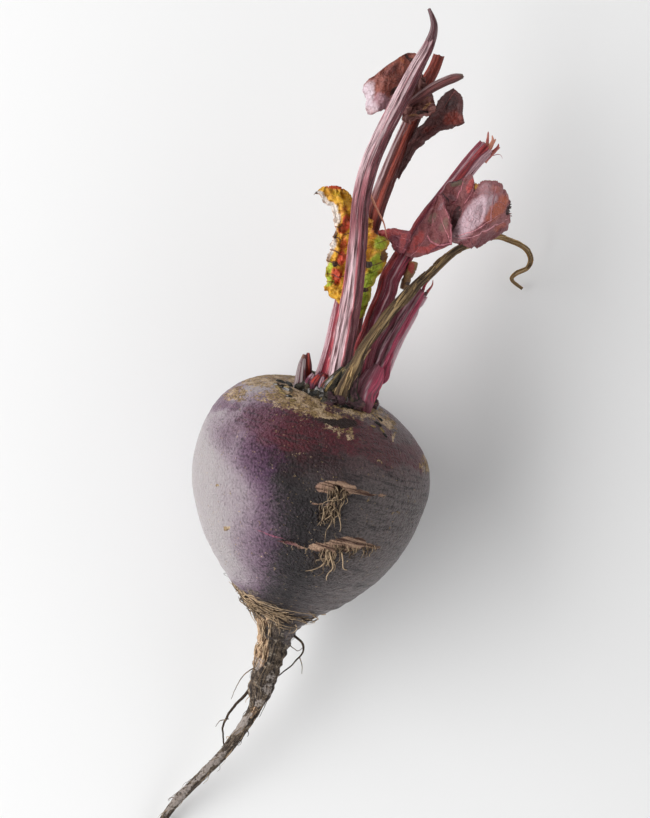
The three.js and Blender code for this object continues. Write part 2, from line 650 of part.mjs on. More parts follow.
const swollenRoot = joined([
  rootBody(0),
  ...TUFTS.flatMap(rootletTuft),
  ...ROOTLET_RUNS.map((run) => fibre(run.map((place) => new THREE.Vector3(...place)), RUN_RADIUS)),
]).subtract(toSolid(trim));

const rootClear = rootBody(GAP);
const crown = cutClear(joined(crownForms(0)), [rootClear]);

// Each stalk with its frayed end and the forms that have grown together with it.
const FOOT_SHAPE = { steps: 7, ribs: 5, depth: 0.4 };
const SHEATH_SHAPE = { steps: 5, ribs: 4, depth: 0.5 };
const FLAP_SHAPE = { steps: 3, ribs: 4, depth: 0.6 };

function flapRows([x, top, width, lean]) {
  return [
    [x, 28.6, top - 3, width],
    [x - 0.3, 32, top - 0.8, 0.9 * width],
    [x + lean, 35, top, 0.4 * width],
  ];
}

const STALKS = [
  { name: "tall_stalk", rows: TALL_STALK, shape: { steps: 26, rib: 0.08 } },
  {
    name: "thick_stalk",
    rows: THICK_STALK,
    shape: { steps: 14, rib: 0.08 },
    frayed: { count: 4, length: 3, seed: 3 },
    forms: [
      { rows: THICK_STALK_FOOT, shape: FOOT_SHAPE },
      { rows: THICK_STALK_BUMP, shape: { steps: 4, ribs: 4 } },
    ],
  },
  {
    name: "right_stalk",
    rows: RIGHT_STALK,
    shape: { steps: 22 },
    frayed: { count: 6, length: 7, seed: 8 },
  },
  {
    name: "second_stalk",
    rows: SECOND_STALK,
    shape: { steps: 20, ribs: 9 },
    frayed: { count: 4, length: 3, seed: 6 },
  },
  { name: "thin_stalk", rows: THIN_STALK, shape: { steps: 8, ribs: 6 } },
  {
    name: "withered_strand",
    rows: STRAND,
    shape: { steps: 38, ribs: 4, rib: 0.12, depth: 0.6, twist: 5 },
  },
  {
    name: "young_shoot",
    rows: SHOOT,
    shape: { steps: 6, ribs: 5, depth: 0.6 },
    forms: [{ rows: SHOOT_SHEATH, shape: SHEATH_SHAPE }],
  },
  {
    name: "red_bud",
    rows: RED_BUD,
    shape: { steps: 4, ribs: 5 },
    forms: BUD_FLAPS.map((flap) => ({ rows: flapRows(flap), shape: FLAP_SHAPE })),
  },
];

function stalkForms({ rows, shape, forms = [] }, grow) {
  return [{ rows, shape }, ...forms].map((form) => stalk(form.rows, { ...form.shape, grow }));
}

const solids = { swollen_root: swollenRoot, crown };
const keepClear = [rootClear, ...crownForms(GAP)];
for (const design of STALKS) {
  const frayed = design.frayed ? splinters(design.rows, design.frayed) : [];
  solids[design.name] = cutClear(joined([...stalkForms(design, 0), ...frayed]), keepClear);
  keepClear.push(...stalkForms(design, GAP));
}

const SPUR_SHAPE = { steps: 8, ribs: 5 };
const LEAVES = [
  {
    name: "yellow_leaf",
    net: YELLOW_LEAF,
    shape: { along: 18, across: 10, tear: 0.1, crinkle: 0.5, seed: 2 },
  },
  {
    name: "top_leaf",
    net: TOP_LEAF,
    shape: { along: 12, across: 9, tear: 0.03, crinkle: 0.25, seed: 4 },
  },
  {
    name: "torn_leaf",
    net: TORN_LEAF,
    shape: { along: 7, across: 9, tear: 0.1, crinkle: 0.5, seed: 7 },
    midrib: SPUR,
  },
  {
    name: "dark_leaf",
    net: DARK_LEAF,
    shape: { along: 14, across: 6, tear: 0.04, crinkle: 0.25, seed: 3 },
  },
  {
    name: "folded_leaf",
    net: FOLDED_LEAF,
    shape: { along: 10, across: 8, tear: 0.02, crinkle: 0.2, seed: 5 },
  },
  {
    name: "wing_leaf",
    net: WING_LEAF,
    shape: { along: 6, across: 5, tear: 0.02, crinkle: 0.12, seed: 6 },
  },
  {
    name: "broad_leaf",
    net: BROAD_LEAF,
    shape: { along: 11, across: 11, tear: 0.03, crinkle: 0.12, seed: 9 },
  },
  {
    name: "small_leaf_tip",
    net: SMALL_TIP,
    shape: { along: 6, across: 5, tear: 0.04, crinkle: 0.15, seed: 8 },
  },
  {
    name: "leaf_scrap",
    net: LEAF_SCRAP,
    shape: { along: 5, across: 3, tear: 0.1, crinkle: 0.15, seed: 1 },
  },
];

function leafForms({ net, shape, midrib }, grow) {
  const rib = midrib ? [stalk(midrib, { ...SPUR_SHAPE, grow })] : [];
  return [leaf(net, { ...shape, grow }), ...rib];
}

for (const design of LEAVES) {
  solids[design.name] = cutClear(joined(leafForms(design, 0)), keepClear);
  keepClear.push(...leafForms(design, GAP));
}

// ---------------------------------------------------------------- colours and scene graph

const FINISHES = {
  swollen_root: ["#4b3a40", 0.55],
  crown: ["#322f27", 0.95],
  tall_stalk: ["#a8808a", 0.5],
  thick_stalk: ["#8a4a5c", 0.5],
  right_stalk: ["#7a3848", 0.5],
  second_stalk: ["#84423f", 0.5],
  thin_stalk: ["#b04a5c", 0.5],
  withered_strand: ["#6d523f", 0.9],
  young_shoot: ["#a84a4c", 0.6],
  red_bud: ["#6a2c34", 0.6],
  yellow_leaf: ["#bd7a18", 0.7],
  top_leaf: ["#7a4438", 0.7],
  torn_leaf: ["#6e3a30", 0.7],
  dark_leaf: ["#38191a", 0.7],
  folded_leaf: ["#7c3a40", 0.7],
  wing_leaf: ["#7a4248", 0.7],
  broad_leaf: ["#8c5458", 0.7],
  small_leaf_tip: ["#90464a", 0.7],
  leaf_scrap: ["#8a5a1e", 0.7],
};

const beetroot = new THREE.Group();
for (const [name, solid] of Object.entries(solids)) {
  const [color, roughness] = FINISHES[name];
  const material = new THREE.MeshStandardMaterial({ color, roughness, metalness: 0 });
  const mesh = new THREE.Mesh(toGeometry(solid), material);
  mesh.name = name;
  beetroot.add(mesh);
}

export default beetroot;
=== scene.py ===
"""A pulled beetroot on its side: skin, crown, stalks and leaves built round its fixed frame.

Lengths in the tables are millimetres, as on the bench; a mesh is turned to metres when it is made.
"""

import itertools
import math

import bpy
import numpy as np
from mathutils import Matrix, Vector
from mathutils.bvhtree import BVHTree


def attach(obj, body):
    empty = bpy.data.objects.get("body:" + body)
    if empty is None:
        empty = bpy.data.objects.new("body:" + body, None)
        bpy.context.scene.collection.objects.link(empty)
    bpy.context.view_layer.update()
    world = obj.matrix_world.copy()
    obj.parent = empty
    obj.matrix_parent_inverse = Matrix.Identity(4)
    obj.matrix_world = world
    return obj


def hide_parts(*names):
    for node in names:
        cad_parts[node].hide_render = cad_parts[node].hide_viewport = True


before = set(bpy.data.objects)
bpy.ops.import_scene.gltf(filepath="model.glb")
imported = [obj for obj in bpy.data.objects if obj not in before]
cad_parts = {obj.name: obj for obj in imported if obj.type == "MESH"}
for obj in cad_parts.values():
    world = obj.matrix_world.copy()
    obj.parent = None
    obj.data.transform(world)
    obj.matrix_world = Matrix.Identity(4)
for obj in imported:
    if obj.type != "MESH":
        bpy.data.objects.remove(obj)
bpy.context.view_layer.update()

MM = 0.001
TURN = 2 * math.pi
TINY = 1e-9

# ---------------------------------------------------------------- numbers and curves


def smooth(low, high, value):
    """Rises from 0 to 1 as the value goes from low to high, whichever is larger."""
    share = np.clip((value - low) / (high - low), 0, 1)
    return share * share * (3 - 2 * share)


def read_rows(rows):
    """One smooth curve through the rows, read at t from 0 to 1."""
    rows = np.array(rows, float)
    last = len(rows) - 1

    def read(t):
        place = np.minimum(np.asarray(t, float) * last, last - TINY)
        start = np.floor(place).astype(int)
        part = (place - start)[..., None]
        here = rows[start]
        ahead = rows[start + 1]
        slope_in = (ahead - rows[np.maximum(start - 1, 0)]) / 2
        slope_out = (rows[np.minimum(start + 2, last)] - here) / 2
        rise = ahead - here
        bend = slope_in + slope_out - 2 * rise
        return here + part * (slope_in + part * (rise - slope_in - bend + part * bend))

    return read


def unit(vectors):
    return vectors / np.linalg.norm(vectors, axis=-1, keepdims=True)


def heading(read, t):
    """Direction of a curve at t."""
    step = 0.01
    ahead = read(np.minimum(t + step, 1))[..., :3]
    return unit(ahead - read(np.maximum(t - step, 0))[..., :3])


def framing(direction):
    """The two directions across a centre line: level, and upwards."""
    across = unit(np.cross(direction, [0, 0, 1]))
    return across, np.cross(across, direction)


def off_axis(centre, across, upward, reach, angle, depth=1):
    """Places at a reach and an angle from a centre line, flattened to the depth."""
    sideways = across * (reach * np.cos(angle))[..., None]
    return centre + sideways + upward * (depth * reach * np.sin(angle))[..., None]


def round_place(angle, along, size=1):
    """Where a pattern is read, so that it closes round a ring."""
    return np.stack([size * np.cos(angle), size * np.sin(angle), along + 0 * angle], -1)


# Large odd numbers that scatter whole places over a word of 32 bits.
SCATTER = (374761393, 668265263, 1103515245)
MIXER = 1274126177
WORD = 0xFFFFFFFF
HALF_WORD = 0xFFFF
OCTAVE_SHIFT = 31.7


def lattice(cell, seed):
    """A repeatable number from -1 to 1 for each whole place."""
    x, y, z = (cell[..., k].astype(np.int64) * SCATTER[k] for k in range(3))
    n = (x + y + z + seed * MIXER) & WORD
    n = ((n ^ (n >> 13)) * MIXER) & WORD
    return ((n ^ (n >> 16)) & HALF_WORD) / (HALF_WORD / 2) - 1


def cloud(points, size, seed, octaves, rough=0.5):
    """Soft lumps from -1 to 1, each about as wide as the size."""
    total = 0
    weight = 1
    whole_weight = 0
    for octave in range(octaves):
        place = points / size * 2**octave + OCTAVE_SHIFT * octave
        cell = np.floor(place)
        part = place - cell
        part = part**3 * (part * (6 * part - 15) + 10)
        for corner in itertools.product((0, 1), repeat=3):
            share = np.prod(np.where(corner, part, 1 - part), axis=-1)
            total = total + weight * share * lattice(cell + corner, seed + octave)
        whole_weight += weight
        weight *= rough
    return total / whole_weight


def creases(points, size, seed, octaves):
    """Sharp ridges: 1 on a crease, falling towards 0 between them."""
    return 1 - np.abs(cloud(points, size, seed, octaves)) * 2


PATCH_EDGE = (1.35, 0.65)
WANDER_SIZE = 3.5


def patch_mask(points, patches, wander, seed):
    """Soft patches seen from above: x, y, half length, half width, turn in degrees, strength."""
    shift = np.stack([cloud(points, WANDER_SIZE, seed + k, 2) for k in range(2)], -1)
    plan = points[..., :2] + wander * shift
    mask = np.zeros(points.shape[:-1])
    for x, y, length, width, turn, strength in patches:
        angle = math.radians(turn)
        east = plan[..., 0] - x
        north = plan[..., 1] - y
        run = (east * math.cos(angle) + north * math.sin(angle)) / length
        side = (north * math.cos(angle) - east * math.sin(angle)) / width
        mask = np.maximum(mask, strength * smooth(*PATCH_EDGE, np.hypot(run, side)))
    return mask


# ---------------------------------------------------------------- meshes


def link(name, data):
    """An object at the origin that holds the data."""
    item = bpy.data.objects.new(name, data)
    bpy.context.scene.collection.objects.link(item)
    return item


def store(mesh, key, values, kind="FLOAT", field="value"):
    """Keeps a number or a vector on every point of a mesh."""
    mesh.attributes.new(key, kind, "POINT").data.foreach_set(field, np.ravel(values))


def new_piece(name, finish, points, faces, masks, grain=None):
    """A smooth mesh piece with the masks and the grain that its finish reads."""
    mesh = bpy.data.meshes.new(name)
    mesh.from_pydata((points * MM).tolist(), [], faces)
    mesh.materials.append(finish)
    mesh.shade_smooth()
    for key, values in masks.items():
        store(mesh, key, values)
    if grain is not None:
        store(mesh, "grain", grain, "FLOAT_VECTOR", "vector")
    return link(name, mesh)


def grid_normals(points, centre=None):
    """Normals of a grid of points. Round a centre the grid joins its last column to its first,
    and the normals point outwards."""
    if centre is None:
        return unit(np.cross(np.gradient(points, axis=0), np.gradient(points, axis=1)))
    beside = np.roll(points, -1, axis=1) - np.roll(points, 1, axis=1)
    normals = unit(np.cross(np.gradient(points, axis=0), beside))
    return normals * np.sign(np.sum(normals * (points - centre), axis=-1).mean())


def tube_grid(rows, sides):
    """How far along, from 0 to 1, and the angle round, for each point of a tube."""
    return np.meshgrid(np.linspace(0, 1, rows), TURN * np.arange(sides) / sides, indexing="ij")


def ring_faces(start, rows, sides):
    """Four-sided faces between rings of points that follow each other."""
    k = np.arange(sides)
    beside = (k + 1) % sides
    low = start + (np.arange(rows - 1) * sides)[:, None]
    quads = np.stack([low + k, low + beside, low + sides + beside, low + sides + k], -1)
    return quads.reshape(-1, 4).tolist()


def fan(pole, ring, sides, far=False):
    """Triangles that close a ring with its pole, at the near or the far end."""
    pairs = [(ring + k, ring + (k + 1) % sides) for k in range(sides)]
    return [(pole, a, b) if far else (pole, b, a) for a, b in pairs]


def tube_faces(rows, sides):
    """Faces of a tube of rings, closed with a point at each end. The points come last."""
    poles = rows * sides
    ends = fan(poles, 0, sides) + fan(poles + 1, poles - sides, sides, far=True)
    return ring_faces(0, rows, sides) + ends


# ---------------------------------------------------------------- finishes


def paint(code):
    """A colour written as six letters and digits, turned into the renderer's own numbers."""
    parts = [int(code[k : k + 2], 16) / 255 for k in (0, 2, 4)]
    linear = [p / 12.92 if p <= 0.04045 else ((p + 0.055) / 1.055) ** 2.4 for p in parts]
    return (*linear, 1)


class Nodes:
    """A node tree in the making. Most calls add one node and give back its output."""

    def __init__(self, tree):
        self.tree = tree

    def feed(self, socket, value):
        if isinstance(value, bpy.types.NodeSocket):
            self.tree.links.new(value, socket)
        else:
            socket.default_value = value

    def add(self, kind, inputs=None, **settings):
        node = self.tree.nodes.new(kind)
        for key, value in settings.items():
            setattr(node, key, value)
        for key, value in (inputs or {}).items():
            self.feed(node.inputs[key], value)
        return node

    def maths(self, operation, a, b):
        return self.add("ShaderNodeMath", {0: a, 1: b}, operation=operation).outputs[0]

    def times(self, a, b):
        return self.maths("MULTIPLY", a, b)

    def plus(self, a, b):
        return self.maths("ADD", a, b)

    def vector_maths(self, operation, inputs):
        return self.add("ShaderNodeVectorMath", inputs, operation=operation).outputs[0]

    def blend(self, share, a, b):
        """From one colour to the other. A colour is a code or an output."""
        a, b = (paint(tone) if isinstance(tone, str) else tone for tone in (a, b))
        return self.add("ShaderNodeMix", {0: share, 6: a, 7: b}, data_type="RGBA").outputs[2]

    def layer(self, under, mask, over, strength=None):
        """Lays a colour over another where the mask is high."""
        return self.blend(self.times(mask, strength) if strength else mask, under, over)

    def window(self, value, low, high):
        """0 below low, 1 above high, smooth between them."""
        inputs = {"Value": value, "From Min": low, "From Max": high}
        return self.add("ShaderNodeMapRange", inputs, interpolation_type="SMOOTHSTEP").outputs[0]

    def clouds(self, vector, scale, detail, rough):
        inputs = {"Vector": vector, "Scale": scale, "Detail": detail, "Roughness": rough}
        return self.add("ShaderNodeTexNoise", inputs).outputs["Fac"]

    def cells(self, vector, scale, feature):
        inputs = {"Vector": vector, "Scale": scale}
        return self.add("ShaderNodeTexVoronoi", inputs, feature=feature).outputs["Distance"]

    def stored(self, name, output="Fac"):
        return self.add("ShaderNodeAttribute", attribute_name=name).outputs[output]

    def effect(self, group, **inputs):
        return self.add("ShaderNodeGroup", inputs, node_tree=group).outputs[0]


VECTOR = "NodeSocketVector"
FLOAT = "NodeSocketFloat"


def new_effect(name, output, **numbers):
    """A shader node group that reads a vector and numbers, and gives one number."""
    tree = bpy.data.node_groups.new(name, "ShaderNodeTree")
    tree.interface.new_socket("Vector", in_out="INPUT", socket_type=VECTOR)
    for key, value in numbers.items():
        socket = tree.interface.new_socket(key, in_out="INPUT", socket_type=FLOAT)
        socket.default_value = value
    tree.interface.new_socket(output, in_out="OUTPUT", socket_type=FLOAT)
    nodes = Nodes(tree)
    given = nodes.add("NodeGroupInput").outputs
    result = nodes.add("NodeGroupOutput").inputs[output]
    return tree, nodes, given, result


def make_leathery_grain():
    """Fine wrinkled skin: small rounded cells with soft creases between them."""
    tree, nodes, given, result = new_effect("leathery_grain", "Height", Scale=1500)
    inputs = {"Vector": given["Vector"], "Scale": 600, "Detail": 1}
    bent = nodes.add("ShaderNodeTexNoise", inputs).outputs["Color"]
    moved = nodes.vector_maths("MULTIPLY", {0: bent, 1: (0.0006, 0.0006, 0.0006)})
    place = nodes.vector_maths("ADD", {0: given["Vector"], 1: moved})
    cells = nodes.cells(place, given["Scale"], "SMOOTH_F1")
    coarse = nodes.clouds(place, nodes.times(given["Scale"], 0.45), 3, 0.6)
    cell_height = nodes.maths("SUBTRACT", 1, nodes.window(cells, 0.15, 0.85))
    total = nodes.plus(nodes.times(cell_height, 0.6), coarse)
    nodes.feed(result, nodes.times(total, 0.6))
    return tree


def make_broken_patches():
    """Turns a soft mask into patches with crumbled, speckled edges."""
    tree, nodes, given, result = new_effect(
        "broken_patches", "Mask", Mask=0, Scale=700, Spread=1
    )
    speckle = nodes.clouds(given["Vector"], given["Scale"], 4, 0.75)
    swing = nodes.times(nodes.maths("SUBTRACT", speckle, 0.5), given["Spread"])
    level = nodes.plus(given["Mask"], nodes.times(swing, 2.2))
    nodes.feed(result, nodes.window(level, 0.42, 0.62))
    return tree


def make_fibre_lines():
    """Lines that run the length of a stalk. The vector is x and y round it, z along it."""
    tree, nodes, given, result = new_effect("fibre_lines", "Lines", Scale=6, Stretch=0.03)
    inputs = {"X": 1, "Y": 1, "Z": given["Stretch"]}
    scale = nodes.add("ShaderNodeCombineXYZ", inputs).outputs[0]
    place = nodes.vector_maths("MULTIPLY", {0: given["Vector"], 1: scale})
    nodes.feed(result, nodes.clouds(place, given["Scale"], 3, 0.65))
    return tree


LEATHERY_GRAIN = make_leathery_grain()
BROKEN_PATCHES = make_broken_patches()
FIBRE_LINES = make_fibre_lines()


class Finish(Nodes):
    """A material in the making: its nodes, its shader's inputs and the piece's own place."""

    def __init__(self, name, roughness, sheen=0, sheen_tint="ffffff", specular=0.5):
        self.material = bpy.data.materials.new(name)
        self.material.use_nodes = True
        super().__init__(self.material.node_tree)
        self.shader = self.tree.nodes["Principled BSDF"].inputs
        self.shader["Roughness"].default_value = roughness
        self.shader["Sheen Weight"].default_value = sheen
        self.shader["Sheen Tint"].default_value = paint(sheen_tint)
        self.shader["Specular IOR Level"].default_value = specular
        self.place = self.add("ShaderNodeTexCoord").outputs["Object"]

    def mottle(self, scale, detail=2, rough=0.55):
        return self.clouds(self.place, scale, detail, rough)

    def fibres(self, scale, stretch):
        """Lines along the piece's own grain."""
        grain = self.stored("grain", "Vector")
        return self.effect(FIBRE_LINES, Vector=grain, Scale=scale, Stretch=stretch)

    def crumbled(self, key, scale, spread=1):
        """A stored mask with crumbled edges."""
        mask = self.stored(key)
        return self.effect(
            BROKEN_PATCHES, Vector=self.place, Mask=mask, Scale=scale, Spread=spread
        )

    def done(self, colour, height, distance):
        """Joins the colour and the fine height to the shader."""
        self.feed(self.shader["Base Color"], colour)
        inputs = {"Height": height, "Distance": distance, "Strength": 1}
        self.feed(self.shader["Normal"], self.add("ShaderNodeBump", inputs).outputs[0])
        return self.material


# ---------------------------------------------------------------- swollen root and taproot

LEAN = math.radians(14)
MIDDLE_Y = -4
MIDDLE_Z = 37

# Run along +Y from the middle, sideways shift of the axis, radius.
ROOT_STATIONS = [
    (34.8, -1, 2), (34.5, -1.5, 9), (33.8, -3, 15.5), (32, -3.4, 22.5), (29.2, -2.6, 28),
    (24.5, -1.4, 33.4), (19, -0.4, 37.2), (12, 0, 39.1), (4, 0, 39.1), (-4, 0.3, 37.9),
    (-12, 0.7, 35.2), (-19.5, 1, 31.2), (-26, 1.3, 26), (-31.5, 1.5, 20.8), (-36.5, 1.8, 14.7),
    (-41, 2.1, 10.6),
]
# Centre x, y, z and radius.
TAPROOT_STATIONS = [
    (2.3, -50, 25.5, 6.9), (2.6, -55, 24, 5.2), (2.7, -62, 22.3, 4.7), (2.4, -69, 20.3, 4.6),
    (2.6, -74, 18.8, 4.3), (2.6, -77, 17.9, 2.9), (2.1, -80.5, 16.8, 2.2), (-0.8, -90.5, 13.8, 2),
    (-5.8, -102, 10, 1.7), (-12.6, -114, 6.6, 1.6), (-16.5, -122, 4.6, 1.5), (-19.3, -130, 3, 1.2),
    (-22, -141, 1.5, 0.9), (-24, -151, 0.8, 0.5),
]
ROOT_AXIS = np.array([0, math.cos(LEAN), math.sin(LEAN)])
ROOT_MIDDLE = np.array([0, MIDDLE_Y, MIDDLE_Z])
BULB_END_Y = MIDDLE_Y + ROOT_STATIONS[-1][0]
SEAM_Y = -49  # where the many sides of the root give way to the fewer of the taproot
BULB_RINGS = 246
BULB_SIDES = 288
TAIL_RINGS = 235
ROOT_START = 0.0004
ROOT_CROWDING = 0.3  # how much closer together the sides are on the upper half
ROOT_SAMPLES = 2000
SPACING_SAMPLES = 3000
TAIL_SHARE = 3  # sides of the root for each side of the taproot

read_root = read_rows(
    [
        (shift, MIDDLE_Y + run, MIDDLE_Z + run * math.tan(LEAN), radius)
        for run, shift, radius in ROOT_STATIONS
    ]
    + TAPROOT_STATIONS
)

# Patches on the upper skin: x, y, half length, half width, turn, strength.
SCARS = [
    (9.2, 1.7, 6.6, 2.1, 8, 1), (17, 2.2, 4.5, 0.8, 6, 0.8), (22.5, 3.2, 3, 0.5, 16, 0.7),
    (4.4, -4.6, 3.2, 0.5, 10, 0.6), (8.6, -5, 2.2, 2, 60, 0.85), (-8, -18, 7, 0.45, -4, 0.55),
    (0, -19.3, 5.5, 0.55, 2, 0.8), (9.8, -17.6, 4.6, 1.7, 12, 1), (17, -14.6, 5.8, 2.5, 14, 1),
    (24.4, -13.8, 3.2, 0.8, 4, 0.8), (11.5, -19.2, 2.4, 1.6, 0, 0.85),
]
SPOTS = [
    (-21.4, -21, 1.6, 0.9, 15, 1), (19.7, 12.9, 1.1, 0.6, 15, 0.9), (22.9, 22.5, 2.2, 0.7, 80, 0.75),
    (8.6, 20, 1.3, 2.6, 20, 0.62), (5.5, 19, 0.8, 2.4, 10, 0.55), (35.3, 15.5, 1.6, 3.2, 10, 0.6),
    (-30, 22, 4, 2.4, 35, 0.72), (-23, 28.5, 8, 2, 12, 0.8), (-14.5, 26.5, 4.5, 2.2, 10, 0.72),
    (-1, 23.6, 8, 1.8, 8, 0.85), (3, 20.5, 4, 2, 5, 0.52), (18, 26.6, 5.5, 1.8, -12, 0.75),
    (-27, -8, 1.2, 0.5, 15, 0.5), (29, -2, 1.5, 0.5, 15, 0.5),
]
BLUSHES = [
    (-4, 17, 22, 7, 8, 1), (16, 17.5, 14, 6, -6, 0.85), (-22, 17, 9, 6, 40, 0.75),
    (31, 18, 5, 7, 70, 0.9), (-8, 21, 3, 2.4, 30, 1), (20, 27, 4, 1.6, 10, 1),
]
# Patches where the dust and the painted sheen are thinner and the violet shows.
THIN_DUST_AND_SHEEN = [(-33, 20, 7, 4, 50, 1), (-12, 23, 6, 3.6, 10, 1), (-21, 16, 6, 4, 20, 0.8)]
VIOLETS = [(-19, 2, 8, 24, 0, 0.9), (-12, -20, 7, 9, 20, 0.6), *THIN_DUST_AND_SHEEN]
OCHRES = [(34, 12, 3, 8, 0, 0.9), (22, 11, 7, 3, 10, 0.7), (12, 3, 14, 6, 10, 0.25)]
PEELS = [
    (-8, -42.4, 3, 2, 20, 0.8), (-3.4, -50, 2.6, 6, -6, 1), (-1.4, -59.5, 3.2, 6, 8, 0.9),
    (2, -81, 1.1, 3.6, -8, 0.6), (2, -44.6, 3, 1.4, 0, 0.5),
]
ASHES = [
    (-3.2, -46, 1.4, 2.6, 0, 1), (-1, -64, 2.4, 2.4, 0, 0.6), (4.6, -70, 2, 5, 0, 0.55),
    (3.4, -77.4, 2, 1.6, 20, 0.6), (-0.6, -86.5, 1.4, 6, -25, 0.8), (-7.6, -104, 1.4, 9, -30, 0.7),
    (-15, -118, 1.4, 9, -28, 0.65),
]
DARK_SPOTS = [(4.5, 21.8, 6.5, 1.5, 12, 0.9), (10, 2, 1.6, 1.1, 0, 1), (12, 0, 1.2, 0.6, 60, 0.9)]


BELLY_DEPTH = 1.1
BELLY_Y = 12
BELLY_LENGTH = 14


def root_relief(y, angle):
    """Soft lumps, the flatter underside over the resting spot, and wrinkles round the neck."""
    bulb = smooth(BULB_END_Y - 6, BULB_END_Y + 14, y)
    lumps = 0.35 * np.sin(3 * angle + 0.7) * np.sin(y / 11)
    lumps = lumps + 0.25 * np.sin(5 * angle + y / 19) * np.cos(y / 7)
    underside = np.maximum(0, -np.sin(angle)) ** 4
    belly = BELLY_DEPTH * underside * np.exp(-(((y - BELLY_Y) / BELLY_LENGTH) ** 2))
    neck = smooth(-21, -41, y) * smooth(-89, -57, y)
    wrinkles = neck * (0.28 * np.sin(1.9 * y) + 0.3 * np.sin(4 * angle + y / 5))
    knots = (1 - bulb) * 0.18 * np.sin(3 * angle + y / 2.3)
    return bulb * (lumps + belly) + wrinkles + knots


def root_skin(t, angle):
    """Points of the plain skin and the middle of the root beneath each."""
    rows = read_root(t)
    centre = rows[..., :3]
    radius = rows[..., 3]
    tail = smooth(BULB_END_Y, BULB_END_Y - 12, centre[..., 1])[..., None]
    across, upward = framing(unit(ROOT_AXIS * (1 - tail) - heading(read_root, t) * tail))
    reach = radius + np.minimum(1, radius / 3) * root_relief(centre[..., 1], angle)
    return off_axis(centre, across, upward, reach, angle), centre


def root_t(y):
    """Where along the root its middle is at this y."""
    t = np.linspace(0, 1, ROOT_SAMPLES)
    return float(np.interp(-y, -read_root(t)[:, 1], t))


def spaced(read, start, end, count):
    """Values of t that are evenly far apart along the skin."""
    t = np.linspace(start, end, SPACING_SAMPLES)
    steps = np.linalg.norm(np.diff(read(t), axis=0), axis=1)
    run = np.concatenate([[0], np.cumsum(steps)])
    return np.interp(np.linspace(0, run[-1], count), run, t)


def root_masks(points, angle):
    """Where the skin is corky, scarred, flushed, tinted, dark or barky, where pale dust and a painted sheen
    lie on the upper left flank, and where reflected light is painted on the upper right flank.
    """
    east, north, height = points[..., 0], points[..., 1], points[..., 2]
    right, above = np.cos(angle), np.sin(angle)
    run = (points - ROOT_MIDDLE) @ ROOT_AXIS
    drift = cloud(points, 9, 3, 3)
    upper = smooth(25, 40, height)
    lit = smooth(-0.9, -0.1, above)

    def on_top(patches, wander, seed):
        return patch_mask(points, patches, wander, seed) * upper

    shoulder = 0.85 * smooth(31, 35.5, run + 3.2 * drift - 0.05 * east)
    flush = 0.4 * smooth(12, 26, run + 6 * drift)
    # Painted sheen: grows towards the left edge and the upper half, where the lamp's light falls.
    leftward = right - 0.25 * above + 0.1 * drift + 0.28 * smooth(4, 20, run)
    bulb = smooth(BULB_END_Y - 2, BULB_END_Y + 12, north)
    thinned_dust_and_sheen = 1 - 0.45 * patch_mask(points, THIN_DUST_AND_SHEEN, 4, 33)
    return {
        "scurf": np.maximum(shoulder, on_top(SPOTS, 1.6, 15)),
        "scar": on_top(SCARS, 0.8, 11),
        "blush": np.maximum(on_top(BLUSHES, 4, 19), flush),
        "dark": on_top(DARK_SPOTS, 1, 23),
        "bark": smooth(-36, -47, north + 3.5 * drift + 13 * smooth(-0.25, 0.7, right)),
        "peel": patch_mask(points, PEELS, 1.2, 37) * smooth(12, 14, height),
        "ash": patch_mask(points, ASHES, 0.9, 39) * smooth(-0.9, 0.1, above),
        # Pale dust and a painted sheen on the upper left flank, strongest at its edge.
        "dust_and_sheen": smooth(-0.1, -1.1, leftward) * bulb * thinned_dust_and_sheen * lit,
        "violet": np.maximum(on_top(VIOLETS, 4, 27), 0.5 * smooth(-0.05, -0.6, above)),
        # Partly the skin's own ochre, partly painted reflected light on the upper right flank.
        "ochre_and_reflection": np.maximum(on_top(OCHRES, 3, 29), 0.9 * smooth(0.05, 0.75, right) * lit),
    }


def root_detail(points, angle, masks):
    """Height of the fine forms over the plain skin."""
    y = points[..., 1]
    run = (points - ROOT_MIDDLE) @ ROOT_AXIS
    growth = creases(round_place(angle, run / 2.6 + 0.25 * cloud(points, 8, 31, 2), 1.6), 1, 37, 2)
    leather = 0.06 * cloud(points, 0.9, 41, 2) + 0.07 * cloud(points, 2.2, 43, 2)
    dents = 0.12 * cloud(points, 5.5, 47, 2)
    body = smooth(BULB_END_Y - 3, BULB_END_Y + 10, y)
    height = leather + body * (dents - 0.1 * smooth(0.75, 1, growth))
    crumb = cloud(points, 0.8, 53, 3, 0.7)
    height = height + masks["scurf"] * (0.1 + 0.12 * crumb)
    scar_form = 0.4 + 0.3 * cloud(points, 2.2, 59, 3, 0.6)
    height = height + masks["scar"] * scar_form - 0.8 * masks["dark"] * (masks["scar"] > 0.3)
    plies = creases(round_place(angle, y / 6, 3), 1.1, 61, 2)
    bark = 0.3 * cloud(points, 2.4, 67, 3, 0.6) - 0.35 * smooth(0.7, 1, plies)
    folds = 0.35 * cloud(round_place(angle, y / 1.1), 1, 71, 2)
    strips = creases(round_place(angle, y / 9, 4), 1, 73, 2)
    height = height + masks["peel"] * (0.25 - 0.5 * smooth(0.65, 1, strips))
    neck = smooth(-36, -44, y) * smooth(-74, -56, y)
    slim = 0.35 + 0.65 * smooth(-125, -70, y)
    return height + masks["bark"] * slim * (bark + neck * folds)


def root_rings(rings, around):
    """Rings of the finished skin: points, masks and grain."""
    t, angle = np.meshgrid(rings, around, indexing="ij")
    skin, centre = root_skin(t, angle)
    normals = grid_normals(skin, centre)
    masks = root_masks(skin, angle)
    skin = skin + normals * root_detail(skin, angle, masks)[..., None]
    skin[..., 2] = np.maximum(skin[..., 2], 0)
    grain = round_place(angle, skin[..., 1] / 10)
    return skin.reshape(-1, 3), masks, grain.reshape(-1, 3)


